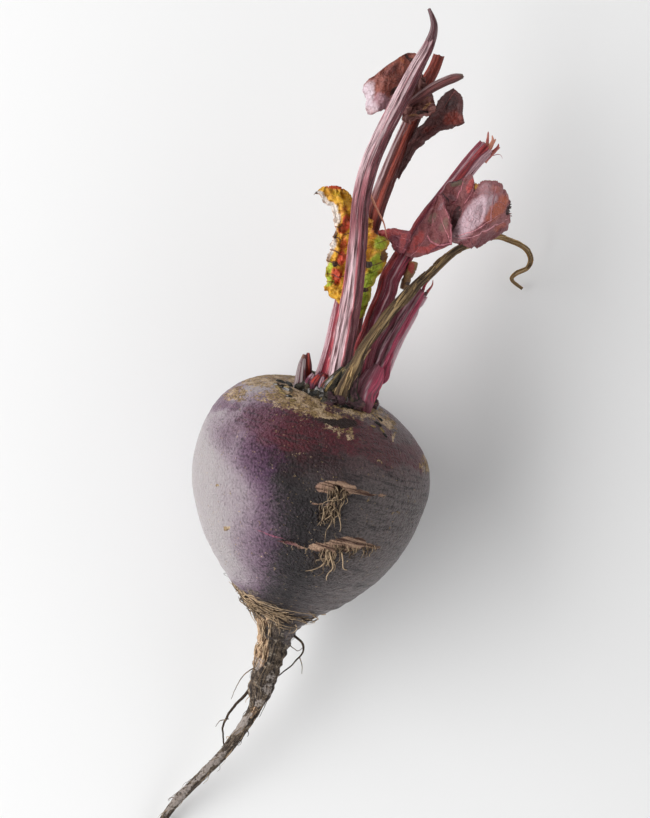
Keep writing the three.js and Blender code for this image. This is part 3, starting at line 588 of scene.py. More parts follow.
def make_root(finish):
    seam_t = root_t(SEAM_Y)
    turn = TURN * np.arange(BULB_SIDES) / BULB_SIDES
    around = turn + ROOT_CROWDING * np.cos(turn)
    bulb = root_rings(spaced(read_root, ROOT_START, seam_t, BULB_RINGS), around)
    tail = root_rings(spaced(read_root, seam_t, 1, TAIL_RINGS + 1)[1:], around[::TAIL_SHARE])
    few = BULB_SIDES // TAIL_SHARE
    first_tail = BULB_RINGS * BULB_SIDES
    last_bulb = first_tail - BULB_SIDES
    poles = first_tail + TAIL_RINGS * few
    faces = ring_faces(0, BULB_RINGS, BULB_SIDES)
    for k in range(few):
        fine = [last_bulb + (TAIL_SHARE * k + j) % BULB_SIDES for j in range(TAIL_SHARE + 1)]
        here = first_tail + k
        beside = first_tail + (k + 1) % few
        faces += [(fine[0], fine[1], here), (fine[1], fine[2], here)]
        faces += [(fine[2], beside, here), (fine[2], fine[3], beside)]
    faces += ring_faces(first_tail, TAIL_RINGS, few)
    faces += fan(poles, 0, BULB_SIDES) + fan(poles + 1, poles - few, few, far=True)
    tips = np.array([bulb[0][:BULB_SIDES].mean(axis=0), read_root(1)[:3]])
    points = np.concatenate([bulb[0], tail[0], tips])
    masks = {
        key: np.concatenate([mask.ravel(), tail[1][key].ravel(), [0, 1]])
        for key, mask in bulb[1].items()
    }
    grain = np.concatenate([bulb[2], tail[2], tips])
    return new_piece("root_skin_body", finish, points, faces, masks, grain)


def make_root_finish():
    nodes = Finish("root_skin", 0.36, 0.03, "d6bfd4", 0.26)
    inputs = {"Vector": nodes.place, "Scale": (0.1, 1, 0.1), "Rotation": (-LEAN, 0, 0)}
    banded = nodes.add("ShaderNodeMapping", inputs).outputs[0]
    lines = nodes.clouds(banded, 900, 4, 0.65)
    flecks = nodes.mottle(1350, 3, 0.75)
    grain = nodes.effect(LEATHERY_GRAIN, Vector=nodes.place, Scale=1350)
    dust_and_sheen = nodes.stored("dust_and_sheen")

    # Bare skin: nearly black, tinted in patches, with fine lines and flecks.
    crisp = nodes.window(flecks, 0.1, 0.62)
    skin = nodes.blend(nodes.window(nodes.mottle(70, 4, 0.6), 0.38, 0.62), "0e0909", "181113")
    # The ochre tint is partly the skin's own colour, partly painted reflected light on the upper right flank.
    for key, code in (("ochre_and_reflection", "746a69"), ("violet", "4a2648"), ("blush", "54121f")):
        skin = nodes.layer(skin, nodes.times(nodes.stored(key), crisp), code)
    skin = nodes.layer(skin, nodes.window(lines, 0.5, 0.64), "140f11", 0.6)
    skin = nodes.layer(skin, nodes.window(nodes.fibres(9, 0.12), 0.54, 0.7), "5d5150", 0.16)
    skin = nodes.layer(skin, nodes.window(flecks, 0.56, 0.68), "66535c", 0.24)
    # Painted shade in the creases of the grain.
    skin = nodes.layer(skin, nodes.window(grain, 0.5, 0.3), "150e12", 0.5)

    # Pale dust on the ridges of the grain, and a painted sheen, lilac to grey, that grows towards the lit
    # left edge of the bulb.
    ridges = nodes.plus(nodes.window(flecks, 0.32, 0.6), nodes.window(grain, 0.3, 0.6))
    dust_and_sheen_share = nodes.window(nodes.plus(dust_and_sheen, nodes.times(ridges, 0.15)), 0.27, 1.08)
    dust_and_sheen_tone = nodes.blend(nodes.window(dust_and_sheen, 0.35, 0.95), "8f7488", "a8a0a1")
    skin = nodes.layer(skin, dust_and_sheen_share, dust_and_sheen_tone, 0.97)

    # Tan cork, torn flesh in the scars, and dark spots.
    cork = nodes.crumbled("scurf", 750, 1.5)
    tan = nodes.blend(nodes.window(flecks, 0.36, 0.62), "574428", "ac9060")
    tan = nodes.layer(tan, nodes.window(nodes.mottle(260, 3, 0.6), 0.47, 0.62), "c6ad8c")
    tan = nodes.layer(tan, nodes.window(nodes.mottle(2300, 2, 0.7), 0.55, 0.63), "4a3733", 0.75)
    skin = nodes.layer(skin, cork, tan, 0.9)
    torn = nodes.crumbled("scar", 600, 0.35)
    across = nodes.add("ShaderNodeSeparateXYZ", {0: nodes.place}).outputs["X"]
    fresh = nodes.blend(nodes.window(across, 0.005, -0.003), "b3927a", "94566a")
    flesh = nodes.blend(nodes.window(lines, 0.38, 0.6), "43291f", fresh)
    skin = nodes.layer(skin, torn, flesh)
    skin = nodes.layer(skin, nodes.crumbled("dark", 900), "241610")

    # Bark of the neck and taproot, with peeled strips and ashy patches.
    rind = nodes.blend(nodes.window(nodes.fibres(5, 0.35), 0.4, 0.62), "2f2824", "766656")
    rind = nodes.layer(rind, nodes.window(flecks, 0.48, 0.64), "3b332f")
    rind = nodes.layer(rind, nodes.window(nodes.mottle(520, 3, 0.6), 0.57, 0.64), "a39686", 0.7)
    peeled = nodes.blend(nodes.window(nodes.fibres(7, 0.14), 0.44, 0.56), "5e4634", "c8a888")
    peel = nodes.crumbled("peel", 520, 0.8)
    rind = nodes.layer(rind, peel, peeled)
    rind = nodes.layer(rind, nodes.crumbled("ash", 700, 1.1), "aca19a", 0.75)
    skin = nodes.layer(skin, nodes.maths("MAXIMUM", nodes.crumbled("bark", 500), peel), rind)

    rough = nodes.plus(nodes.times(nodes.maths("MAXIMUM", cork, torn), 0.4), 0.29)
    rough = nodes.maths("MAXIMUM", rough, nodes.times(nodes.stored("bark"), 0.8))
    nodes.feed(nodes.shader["Roughness"], rough)
    return nodes.done(skin, nodes.plus(grain, nodes.times(flecks, 0.6)), 0.0012)


# ---------------------------------------------------------------- stalks


def join_parts(parts):
    """Puts several bodies (points, faces, masks, grain) into one."""
    faces = []
    start = 0
    for part in parts:
        faces += [[start + corner for corner in face] for face in part[1]]
        start += len(part[0])
    masks = {key: np.concatenate([part[2][key] for part in parts]) for key in parts[0][2]}
    points, grain = (np.concatenate([part[k] for part in parts]) for k in (0, 3))
    return points, faces, masks, grain


BAND_FADE = 0.06
LENGTH_SAMPLES = 50
STALK_MASKS = ("pale", "deep", "warm", "dry")


def band(side, t, edges):
    """A strip along a stalk. Edges say where it rises and falls from the left, -1, to the right,
    1, and where it starts and ends along the stalk."""
    rise, full, fall, gone, start, end = edges
    across = smooth(rise, full, side) * smooth(gone, fall, side)
    begun = smooth(start - BAND_FADE, start + BAND_FADE, t)
    return across * begun * smooth(end + BAND_FADE, end - BAND_FADE, t)


def whole(start=-1, end=2):
    """Edges of a band over the full width of a stalk."""
    return (-3, -2, 2, 3, start, end)


def stem_body(
    rows, bands, depth=0.85, ribs=10, rib=0.07, twist=0, steps=150, sides=96, seed=0,
    rough=0.03, groove=0.06, jag=0, jag_from=0.85, roll=0,
):
    """A ribbed stalk along its centre line: its points, faces, masks and grain."""
    read = read_rows(rows)
    t, angle = tube_grid(steps + 1, sides)
    if jag:
        teeth = 0.5 + 0.5 * cloud(round_place(angle, seed), 0.45, seed, 2)
        t = t * (1 - jag * smooth(jag_from, 1, t) * teeth)
    centre = read(t)
    level, rising = framing(heading(read, t))
    across = level * math.cos(roll) + rising * math.sin(roll)
    upward = rising * math.cos(roll) - level * math.sin(roll)
    turned = angle + twist * t
    route = read(np.linspace(0, 1, LENGTH_SAMPLES))[:, :3]
    length = np.linalg.norm(np.diff(route, axis=0), axis=1).sum()
    along = t * length
    lines = creases(round_place(angle, along / 26 + seed, 2), 0.62, seed, 2)
    lumps = cloud(round_place(angle, along / 7 + seed), 1, seed + 5, 3)
    relief = rib * np.cos(ribs * angle + 0.35 * lumps) + rough * lumps - groove * smooth(0.6, 1, lines)
    reach = centre[..., 3] / 2 * (1 + relief)
    points = off_axis(centre[..., :3], across, upward, reach, turned, depth)
    side = np.cos(turned) + 0.22 * lumps
    masks = {}
    for key in STALK_MASKS:
        masks[key] = np.zeros_like(t)
        for edges in bands.get(key, []):
            masks[key] = np.maximum(masks[key], band(side, t, edges))
    # Painted shade in the grooves and between the ribs.
    masks["groove"] = smooth(0.55, 1, lines) * 0.8 + smooth(0, -1, np.cos(ribs * angle)) * 0.3
    grain = round_place(angle, along)
    poles = read(np.array([0, t[-1].mean() - 0.3 * jag]))[:, :3]
    flat = {key: np.concatenate([mask.ravel(), mask[[0, -1], 0]]) for key, mask in masks.items()}
    return (
        np.concatenate([points.reshape(-1, 3), poles]),
        tube_faces(steps + 1, sides),
        flat,
        np.concatenate([grain.reshape(-1, 3), grain[[0, -1], 0]]),
    )


def make_stalk_finish(name, base, pale, deep, warm, dry, roughness=0.42, line=0.7):
    nodes = Finish(name, roughness, 0.05, "ffe8f0", 0.45)
    lines = nodes.fibres(4.6, 0.012)
    fine = nodes.fibres(15, 0.01)
    ridge = nodes.window(lines, 0.44, 0.54)
    colour = nodes.blend(ridge, deep, base)
    warmed = nodes.times(nodes.stored("warm"), nodes.window(lines, 0.36, 0.46))
    colour = nodes.layer(colour, warmed, warm)
    # The pale and deep masks carry painted light on the left edges and painted shade on the right edges as
    # well as the stalks' own streaks.
    whitened = nodes.times(nodes.stored("pale"), nodes.window(lines, 0.38, 0.48))
    colour = nodes.layer(colour, whitened, pale)
    mottle = nodes.mottle(260, 3, 0.6)
    darkened = nodes.times(nodes.stored("deep"), nodes.window(mottle, 0, 0.4))
    colour = nodes.layer(colour, darkened, nodes.blend(nodes.times(ridge, 0.3), deep, base))
    colour = nodes.layer(colour, nodes.window(fine, 0.53, 0.6), deep, line)
    colour = nodes.layer(colour, nodes.window(fine, 0.42, 0.36), pale, 0.45)
    # Painted shade in the grooves and between the ribs.
    colour = nodes.layer(colour, nodes.stored("groove"), deep, 0.6)
    dried = nodes.crumbled("dry", 500, 0.6)
    colour = nodes.layer(colour, dried, nodes.blend(nodes.window(lines, 0.42, 0.56), dry, deep))
    nodes.feed(nodes.shader["Roughness"], nodes.plus(nodes.times(dried, 0.3), roughness))
    return nodes.done(colour, nodes.plus(fine, nodes.times(lines, 1.4)), 0.0007)


TALL_STALK = [
    (0.2, 31, 49.5, 8), (-0.3, 41, 54, 7.4), (-1.2, 52, 57, 7), (-2.3, 64, 60, 6.6),
    (-4.6, 78.5, 62, 6), (-7, 91, 63, 5.6), (-7.5, 103, 63.5, 5.6), (-6, 114.5, 63, 5.4),
    (-3.5, 126.5, 62, 5.2), (-1, 138.5, 60.5, 4.6), (1, 147, 59.5, 3.4), (1, 153.5, 59, 2.2),
    (-2, 158.5, 58, 1),
]
SECOND_STALK = [
    (3, 33, 38, 6.5), (1, 49, 41.5, 6.4), (-0.8, 65.5, 44.5, 6.2), (-2, 80, 46.5, 6),
    (-2, 91, 48.5, 6), (-1, 102, 51, 5.8), (0.5, 113, 52.5, 5.6), (2, 123.5, 53, 5.2),
    (3, 134, 53, 4.4), (4.5, 141, 53, 3.8), (5, 146, 53, 3.6),
]
RIGHT_STALK = [
    (7, 33, 46, 7), (6.5, 46, 48.5, 6.8), (7, 52.5, 50, 6.6), (7.5, 59.5, 50.5, 6.4),
    (8.5, 66, 50.2, 6.4), (8.5, 71.5, 49.2, 6.4), (10, 77.5, 47.5, 6.2), (12, 83.5, 45, 6),
    (14, 90, 42.5, 5.8), (17.5, 99.5, 39, 5.6), (21, 107.5, 36, 5.6), (25.6, 118, 32, 5.8),
    (29, 124.5, 29.5, 6),
]
THICK_STALK = [
    (9.6, 28.5, 43, 10), (9.6, 33, 44, 7.6), (10.6, 38, 43.2, 8.8), (12, 42.5, 42.6, 9.4),
    (13, 47.5, 42.2, 8.4), (14, 52.5, 42, 7.6),
    (16, 60, 41.5, 7.2), (18, 67.5, 41, 6.8), (20, 73.5, 40, 6.4),
]
THIN_STALK = [
    (-5, 31, 45.5, 4.6), (-4.6, 44, 49, 4), (-5.2, 54.5, 50.8, 3.6), (-5.6, 63.5, 51, 3.2),
]
STRAND = [
    (2.4, 29.5, 57, 4.4), (3, 33.5, 58.5, 4), (4.6, 40, 59.5, 3.6), (6, 46.5, 58.5, 3.4),
    (8.5, 53, 57.5, 3.4), (11.5, 60.5, 55.5, 3.4), (14.5, 66.5, 53, 3.4), (17.5, 72.5, 50, 3.2),
    (21, 77.5, 46.5, 3), (24.5, 83, 42, 2.8), (28, 87.5, 36.5, 2.4), (33, 91.5, 31, 2.2),
    (40, 96, 24, 1.8), (45.5, 96.5, 18, 1.8), (51, 96, 12, 1.8), (54, 93.5, 8.5, 1.8),
    (54, 90, 6.5, 1.5), (51, 87.5, 4.8, 1.4), (50, 85, 3, 1.2), (54.5, 83, 1.2, 0.9),
]
SHOOT = [(-9, 29, 47, 4), (-10, 34.5, 50, 3.6), (-10.5, 37.5, 52, 3), (-11, 41, 53.5, 1)]
RED_BUD = [(-4.5, 28, 52.5, 5), (-4.8, 33, 53.5, 4.6), (-4.6, 36.5, 54.5, 2.4)]
SPUR = [
    (-0.5, 127, 57.2, 2), (2.5, 130.5, 57.6, 2.8), (5.5, 134, 58, 3), (8.8, 137, 58, 3),
    (11.8, 139.2, 57.5, 2.8), (14.5, 140.6, 57, 1.2),
]

# Bands run from the left edge of a stalk, -1, to its right edge, 1, then along it from 0 to 1.
# A finish is the base, pale, deep, warm and dry colour, then roughness and how strong the dark
# lines are. Extras are bodies that have grown together with the stalk: rows, form, bands.
# Pale bands on the left edges of the stalks are partly painted light from the left, and deep bands on the
# right edges partly painted shade, laid over the stalks' own streaks.
STALKS = {
    "tall_stalk": {
        "rows": TALL_STALK, "slot": "pink_stalk", "form": {"rib": 0.06, "seed": 3, "groove": 0.12},
        "bands": {
            # Pale on the left and deep on the right: partly painted light and painted shade.
            "pale": [
                (-0.95, -0.8, 0.05, 0.2, -1, 0.22), (-0.85, -0.65, 0.05, 0.22, 0.2, 0.34),
                (-1.2, -1, -0.35, -0.2, 0.46, 0.82), (-0.25, -0.1, 0.15, 0.3, 0.5, 0.88),
            ],
            "deep": [
                (0.22, 0.34, 2, 3, -1, 0.5), (-1.2, -1, 0.4, 0.6, 0.37, 0.43),
                (0.4, 0.55, 2, 3, 0.5, 0.9),
            ],
            "warm": [(0.02, 0.1, 0.18, 0.28, -1, 0.36), (-1.3, -1.2, -1, -0.9, -1, 0.4)],
            "dry": [whole(0.84)],
        },
        "finish": ("cc747e", "f6d4d9", "521f26", "cc4c58", "b08e92", 0.42, 0.5),
    },
    "second_stalk": {
        "rows": SECOND_STALK, "slot": "red_stalk",
        "form": {"rib": 0.06, "ribs": 9, "seed": 8, "jag": 0.03, "groove": 0.1},
        "bands": {
            # The pale left edge is a painted highlight; the deep right edge is partly painted shade.
            "pale": [(-1.4, -1.2, -0.55, -0.4, 0.46, 0.74)],
            "deep": [(0.55, 0.7, 2, 3, -1, 0.8), (-0.35, -0.28, -0.2, -0.12, 0.3, 0.8), whole(end=0.1)],
            "warm": [(-0.25, -0.05, 0.35, 0.5, 0.2, 0.8), whole(0.84)],
        },
        "finish": ("a0463c", "c4a6a8", "5c201c", "b44c38", "8a6a50", 0.42, 0.4),
    },
    "right_stalk": {
        "rows": RIGHT_STALK, "slot": "dark_red_stalk",
        "form": {"rib": 0.06, "seed": 12, "jag": 0.05, "groove": 0.1},
        "bands": {
            "pale": [
                (0, 0.08, 0.16, 0.26, -1, 0.62), (0.3, 0.45, 2, 3, 0.78, 2),
                (-0.7, -0.6, -0.48, -0.38, 0.78, 2),
            ],
            # The deep band on the right edge is partly painted shade.
            "deep": [(-0.45, -0.35, -0.1, 0, -1, 0.45), (0.35, 0.5, 2, 3, -1, 0.4)],
            "warm": [(-1.6, -1.3, -0.7, -0.5, -1, 0.7), (-0.35, -0.2, 0.15, 0.3, 0.72, 2)],
        },
        "finish": ("b43e54", "ecbcc6", "6c2434", "d84a4a", "9a6a58", 0.42, 0.5),
    },
    "thick_stalk": {
        "rows": THICK_STALK, "slot": "magenta_stalk",
        "form": {"rib": 0.06, "seed": 17, "jag": 0.14, "jag_from": 0.75, "groove": 0.15, "rough": 0.06},
        "bands": {
            "pale": [
                (-0.35, -0.25, -0.12, -0.02, 0.05, 0.9), (0.1, 0.18, 0.28, 0.36, 0, 0.9),
                (0.78, 0.88, 2, 3, 0.1, 0.95),
            ],
            "deep": [(-2, -1.4, -0.65, -0.5, -1, 2), (-0.06, 0, 0.04, 0.12, -1, 2)],
            "warm": [(0.3, 0.4, 0.7, 0.8, -1, 2), (-2, -1, 1, 3, -1, 0.14)],
            "dry": [(-2, -1, 1, 3, 0.93, 2)],
        },
        "finish": ("c4647c", "e4bcc6", "7c4652", "d2486c", "6a4a44", 0.42, 0.5),
        "extras": [(
            [(10.4, 26.4, 52.2, 7.6), (10, 29.5, 54, 8), (10, 33.5, 53.4, 7),
             (11, 37.6, 50.8, 7.4), (12.2, 42.5, 46.6, 6)],
            {"depth": 0.4, "rough": 0.2, "rib": 0.08, "groove": 0.2, "seed": 61, "ribs": 7},
            {
                "warm": [(0.1, 0.3, 2, 3, 0.3, 2)],
                "deep": [(-3, -2, -0.3, 0, -1, 2), (0.3, 0.5, 0.7, 0.8, 0.1, 0.5)],
                "pale": [(0, 0.1, 0.2, 0.3, 0.35, 0.7)],
                "dry": [whole(end=0.12)],
            },
        ), (
            [(13.4, 37, 46.6, 1.6), (15, 39.8, 46.6, 3), (15.2, 43.6, 45.5, 2)],
            {"depth": 0.8, "rough": 0.14, "seed": 62}, {"warm": [whole()]},
        ), (
            [(12.8, 31, 51, 1.6), (13.6, 33.6, 50.4, 2.2), (13.6, 36.6, 48.6, 1.4)],
            {"depth": 0.8, "rough": 0.14, "seed": 63}, {"warm": [(-0.6, 0, 2, 3, -1, 2)]},
        )],
    },
    "thin_stalk": {
        "rows": THIN_STALK, "slot": "bright_stalk",
        "form": {"rib": 0.05, "ribs": 6, "seed": 21, "steps": 80, "sides": 48},
        "bands": {
            # Pale on the left is painted light, deep on the right painted shade.
            "pale": [(-1.6, -1.4, -0.35, -0.15, -1, 2)],
            "deep": [(0.3, 0.5, 2, 3, -1, 2)],
            "warm": [(-0.3, 0, 0.3, 0.5, -1, 2)],
        },
        "finish": ("d06c78", "f0c8d0", "8a2436", "cc3850", "9a6a58"),
    },
    "young_shoot": {
        "rows": SHOOT, "slot": "shoot_skin",
        "form": {"rib": 0.04, "ribs": 5, "seed": 25, "depth": 0.6, "steps": 60, "sides": 48},
        "bands": {
            # Pale on the left is partly painted light, deep on the right partly painted shade.
            "pale": [(-1.6, -1.4, -0.45, -0.2, -1, 0.85)],
            "deep": [(0.75, 0.9, 2, 3, -1, 0.9)],
            "warm": [(-0.3, -0.1, 0.8, 1, 0.1, 2)],
        },
        "finish": ("c8564a", "cdbcbc", "6e3440", "e0553c", "b08a72"),
        "extras": [(
            [(-10.4, 27.6, 48.6, 5), (-11.2, 32, 51.4, 3.8), (-11.9, 36.6, 53.2, 2.6),
             (-12, 40.2, 53.8, 1.2)],
            {"depth": 0.5, "rough": 0.06, "seed": 64, "rib": 0.04},
            {"pale": [whole()], "deep": [(0.3, 0.6, 2, 3, -1, 0.6)], "dry": [whole(0.85)]},
        )],
    },
    "red_bud": {
        "rows": RED_BUD, "slot": "bud_skin",
        "form": {
            "rib": 0.08, "ribs": 5, "seed": 29, "steps": 50, "sides": 48, "jag": 0.3,
            "jag_from": 0.5, "rough": 0.12,
        },
        "bands": {"deep": [(-2, -1.5, -0.2, 0.2, -1, 0.7)], "warm": [(-0.2, 0.2, 2, 3, 0.5, 2)]},
        "finish": ("8c3a54", "d8b0bc", "4a1c30", "d04030", "6a4a44"),
        "extras": [
            (
                [(x, 28.6, top - 3, size), (x - 0.3, 32, top - 0.8, size * 0.9),
                 (x + lean, 35, top, size * 0.4)],
                {"depth": 0.6, "rough": 0.16, "seed": 65 + k, "jag": 0.1},
                {key: [(-3, -2, 0.4, 0.9, start, 2)]},
            )
            for k, (x, top, size, lean, key, start) in enumerate([
                (-7.9, 55, 3.2, 0.4, "pale", 0.7), (-6.2, 56, 2.8, 0.8, "warm", 0.5),
                (-2.6, 57.6, 3, 0.6, "warm", -1), (-3.8, 56.6, 2.4, -0.4, "pale", 0.4),
            ])
        ],
    },
}
EXTRA_FORM = {"steps": 60, "sides": 56}


def make_stalk(node, design):
    """A stalk with the sheaths, bumps or buds that have grown together with it."""
    bodies = [stem_body(design["rows"], design["bands"], **design["form"])]
    for rows, form, bands in design.get("extras", []):
        bodies.append(stem_body(rows, bands, **EXTRA_FORM, **form))
    finish = make_stalk_finish(design["slot"], *design["finish"])
    return new_piece("ribbed_" + node, finish, *join_parts(bodies))


# ---------------------------------------------------------------- leaves

BLADE_THICKNESS = 0.5
BLADE_MASKS = ("pale", "warm", "fresh", "burnt_and_shadow", "deep")
VEIN_HEIGHT = 0.3


def line_mask(u, share, route, width):
    """How near each place of a blade is to a vein drawn through route places (u, share)."""
    nearest = np.full(np.broadcast(u, share).shape, np.inf)
    for (u0, v0), (u1, v1) in zip(route, route[1:]):
        run = np.array([u1 - u0, v1 - v0])
        part = ((u - u0) * run[0] + (share - v0) * run[1]) / max(run @ run, TINY)
        part = np.clip(part, 0, 1)
        gap = np.hypot(u - u0 - part * run[0], share - v0 - part * run[1])
        nearest = np.minimum(nearest, gap)
    return smooth(width, 0, nearest)


def sheet_faces(along, across):
    """Faces of a sheet with two sides, the upper points first, closed round its rim."""
    count = along * across
    a = (np.arange(along - 1) * across)[:, None] + np.arange(across - 1)
    top = np.stack([a, a + across, a + across + 1, a + 1], -1).reshape(-1, 4)
    faces = top.tolist() + (top[:, ::-1] + count).tolist()
    rim = [r * across for r in range(along - 1)]
    rim += [(along - 1) * across + c for c in range(across - 1)]
    rim += [r * across + across - 1 for r in range(along - 1, 0, -1)]
    rim += list(range(across - 1, 0, -1))
    for here, ahead in zip(rim, rim[1:] + rim[:1]):
        faces.append([ahead, here, here + count, ahead + count])
    return faces


def blade_body(
    net, veins, patches, along, across, tear, crinkle, seed,
    cad_along, cad_across, crumple, ragged, fold_size=3.4,
):
    """A thin crumpled blade through a net of points, torn along its edges."""
    u = np.linspace(0, 1, along)
    steps = np.linspace(0, 1, across)

    def nicks(place, phase, lane):
        where = np.stack([place * 40, place * 0 + phase, place * 0 + lane], -1)
        return ragged * cloud(where, 1.3, seed, 3, 0.7)

    def cut(phase):
        soft = tear * (0.5 + 0.5 * np.sin(23 * u + phase) * np.cos(11 * u - phase))
        return soft + nicks(u, phase, 0)

    low, high = cut(seed), 1 - cut(seed + 2.4)
    share = low[:, None] + (high - low)[:, None] * steps
    end_nicks = nicks(steps, 0, seed)
    middle = np.empty((along, across, 3))
    readers = [read_rows(row) for row in net]
    for i in range(along):
        rows = np.stack([read(np.clip(share[i], 0, 1)) for read in readers])
        at_end = smooth(0.8, 1, u[i]) - smooth(0.2, 0, u[i])
        place = np.clip(u[i] + end_nicks * at_end, 0, 1)
        for j in range(across):
            middle[i, j] = read_rows(rows[:, j])(place[j])
    normals = grid_normals(middle)
    i = (u * cad_along)[:, None]
    j = (steps * cad_across)[None, :]
    wave = crinkle * np.sin(1.7 * i + 0.9 * j + seed) * np.cos(1.9 * j - 0.6 * i)
    edge = np.minimum(np.minimum(share - low[:, None], high[:, None] - share) * 3, 1)
    fold = creases(middle, fold_size, seed, 2)
    fine = cloud(middle, 1.4, seed + 3, 3, 0.6)
    vein = np.zeros((along, across))
    for route, strength, width in veins:
        vein = np.maximum(vein, strength * line_mask(u[:, None], share, route, width))
    rise = wave + crumple * (1.4 * smooth(0.3, 1, fold) - 0.7 + 0.3 * fine) + VEIN_HEIGHT * vein
    skin = middle + normals * rise[..., None]
    masks = {key: patch_mask(skin, patches.get(key, []), 0.9, seed) for key in BLADE_MASKS}
    masks["vein"] = vein
    masks["rim"] = smooth(0.3, 0, edge)
    # Painted shade in the valleys of the folds.
    masks["valley"] = smooth(0.45, 0.05, fold) * smooth(0, 0.5, edge)
    half = normals * BLADE_THICKNESS / 2
    points = np.concatenate([(skin + half).reshape(-1, 3), (skin - half).reshape(-1, 3)])
    flat = {key: np.concatenate([mask.ravel()] * 2) for key, mask in masks.items()}
    flat["back"] = np.repeat([0.0, 1.0], along * across)
    return points, sheet_faces(along, across), flat


def make_blade_finish(name, base, deep, vein, pale, warm, fresh, burnt_and_shadow, back):
    nodes = Finish(name, 0.45, 0.05, "ffe8f0")
    mottle = nodes.mottle(420, 4, 0.65)
    fine = nodes.mottle(1500, 3, 0.65)
    netting = nodes.window(nodes.cells(nodes.place, 480, "DISTANCE_TO_EDGE"), 0.1, 0.02)
    shade = nodes.times(nodes.window(mottle, 0.3, 0.7), 0.55)
    colour = nodes.blend(shade, base, deep)
    colour = nodes.layer(colour, nodes.stored("back"), back, 0.7)
    edge = nodes.times(nodes.maths("SUBTRACT", mottle, 0.55), 0.7)
    for key, code in (("deep", deep), ("warm", warm), ("fresh", fresh), ("pale", pale)):
        part = nodes.window(nodes.plus(nodes.stored(key), edge), 0.05, 0.95)
        colour = nodes.layer(colour, part, code)
    colour = nodes.layer(colour, nodes.window(fine, 0.48, 0.66), deep, 0.18)
    colour = nodes.layer(colour, netting, vein, 0.14)
    colour = nodes.layer(colour, nodes.window(nodes.stored("vein"), 0.25, 0.7), vein)
    # Burnt spots, and on the broad leaf a painted shadow in the gap by the folded leaf.
    colour = nodes.layer(colour, nodes.crumbled("burnt_and_shadow", 500, 0.7), burnt_and_shadow)
    # Painted shade in the valleys of the folds.
    colour = nodes.layer(colour, nodes.stored("valley"), deep, 0.25)
    colour = nodes.layer(colour, nodes.stored("rim"), deep, 0.45)
    height = nodes.plus(nodes.times(mottle, 1.2), nodes.times(fine, 0.5))
    return nodes.done(colour, nodes.plus(height, nodes.times(netting, 0.4)), 0.0005)


YELLOW_LEAF = [
    [(-22.5, 91.5, 54.5), (-21, 93.5, 56.5), (-18, 95, 57.5), (-14.5, 95.5, 56.5), (-10.5, 94, 55)],
    [(-19, 90, 54), (-16.5, 91, 56), (-14, 91, 57), (-11.5, 91, 56), (-7.5, 91, 54.5)],
    [(-14, 85.5, 54), (-12.5, 85.5, 55.5), (-11, 86, 56), (-8, 86, 54), (-3, 89, 53.5)],
    [(-13.5, 79.5, 54), (-11.5, 80, 55), (-9.5, 80, 54), (-4, 81.5, 53.5), (2, 86, 54.5)],
    [(-13, 73, 53), (-10.5, 73, 54.5), (-8, 74, 53.5), (-1, 76, 53.5), (6.5, 81.5, 53.5)],
    [(-12, 66.5, 53), (-9.5, 67, 54.5), (-7, 67.5, 53.5), (-1, 69, 53.5), (5.5, 73.5, 54)],
    [(-11.5, 63, 52), (-9, 62.5, 53.5), (-6, 62.5, 53.5), (-0.5, 62, 53.5), (4, 63.5, 55)],
    [(-3, 60, 53.5), (-1.5, 58.5, 53), (0, 57, 53), (2, 56, 53.5), (4, 58, 54.5)],
]
TOP_LEAF = [
    [(1, 142.5, 54), (-1, 136, 53.5), (-2.5, 130, 53), (-4.5, 124, 54)],
    [(-4, 144, 54.5), (-5.5, 137, 54.5), (-6.5, 130.5, 54.5), (-8, 123.5, 54)],
    [(-9.5, 139, 55.5), (-10, 134, 56.5), (-9.5, 128.5, 56.5), (-10, 122, 55)],
    [(-13.5, 133.5, 55.5), (-13, 130, 54.5), (-12, 126.5, 53.5), (-12, 121, 52)],
    [(-15.5, 131.5, 52), (-16, 128.5, 50.5), (-14.5, 126.5, 50.5), (-13.5, 123.5, 50)],
]
TORN_LEAF = [
    [(0.5, 139, 56.8), (-0.5, 131.5, 56.8), (-1.5, 124.5, 56.5), (-1, 121, 57)],
    [(2.5, 137, 56.8), (2, 130, 56.6), (1, 124.5, 56.5), (2, 121, 58)],
    [(4.5, 134.5, 56.5), (5, 129.5, 56), (4, 126, 57), (4, 123, 58.5)],
    [(6, 133, 56), (7.5, 130, 56.5), (8.5, 128, 57.5), (7, 125, 58.5)],
]
DARK_LEAF = [
    [(2.2, 103.6, 52.4), (2.4, 103.6, 52.4), (2.6, 103.5, 52.4), (2.8, 103.4, 52.3)],
    [(3, 115.5, 55), (3.8, 114.5, 54), (4.6, 113.5, 53.8), (5.6, 112.5, 54.2)],
    [(5, 121, 56.5), (6, 120, 54.5), (7, 118.5, 54), (8, 117, 55.5)],
    [(7.5, 126.5, 57.2), (9, 125, 54.5), (10.5, 123, 53.5), (11.5, 121, 55.5)],
    [(9.5, 132.5, 57.5), (12, 130, 54.5), (14, 127, 53.5), (15.5, 123.5, 56)],
    [(12, 136, 57), (15.8, 134, 56), (17.5, 129, 54.5), (18.8, 126, 55.5)],
]
FOLDED_LEAF = [
    [(11, 80, 50.4), (14.7, 80.4, 49.6), (20, 83.6, 48.5), (25.3, 87.8, 47.5)],
    [(11.9, 86.3, 48.6), (15.6, 86.8, 47.6), (19.7, 88.9, 47.6), (24.2, 91.1, 49.8)],
    [(13.2, 90.8, 46.8), (16.4, 91.6, 46), (19.5, 93.4, 46.8), (22.7, 94.6, 50)],
    [(15.3, 96.7, 44.8), (17, 96.9, 44.6), (18.8, 97.9, 45.6), (20.4, 98.6, 48)],
    [(16.9, 102, 43.2), (17.1, 102.3, 43.4), (17.4, 102.6, 44), (17.7, 102.7, 45)],
]
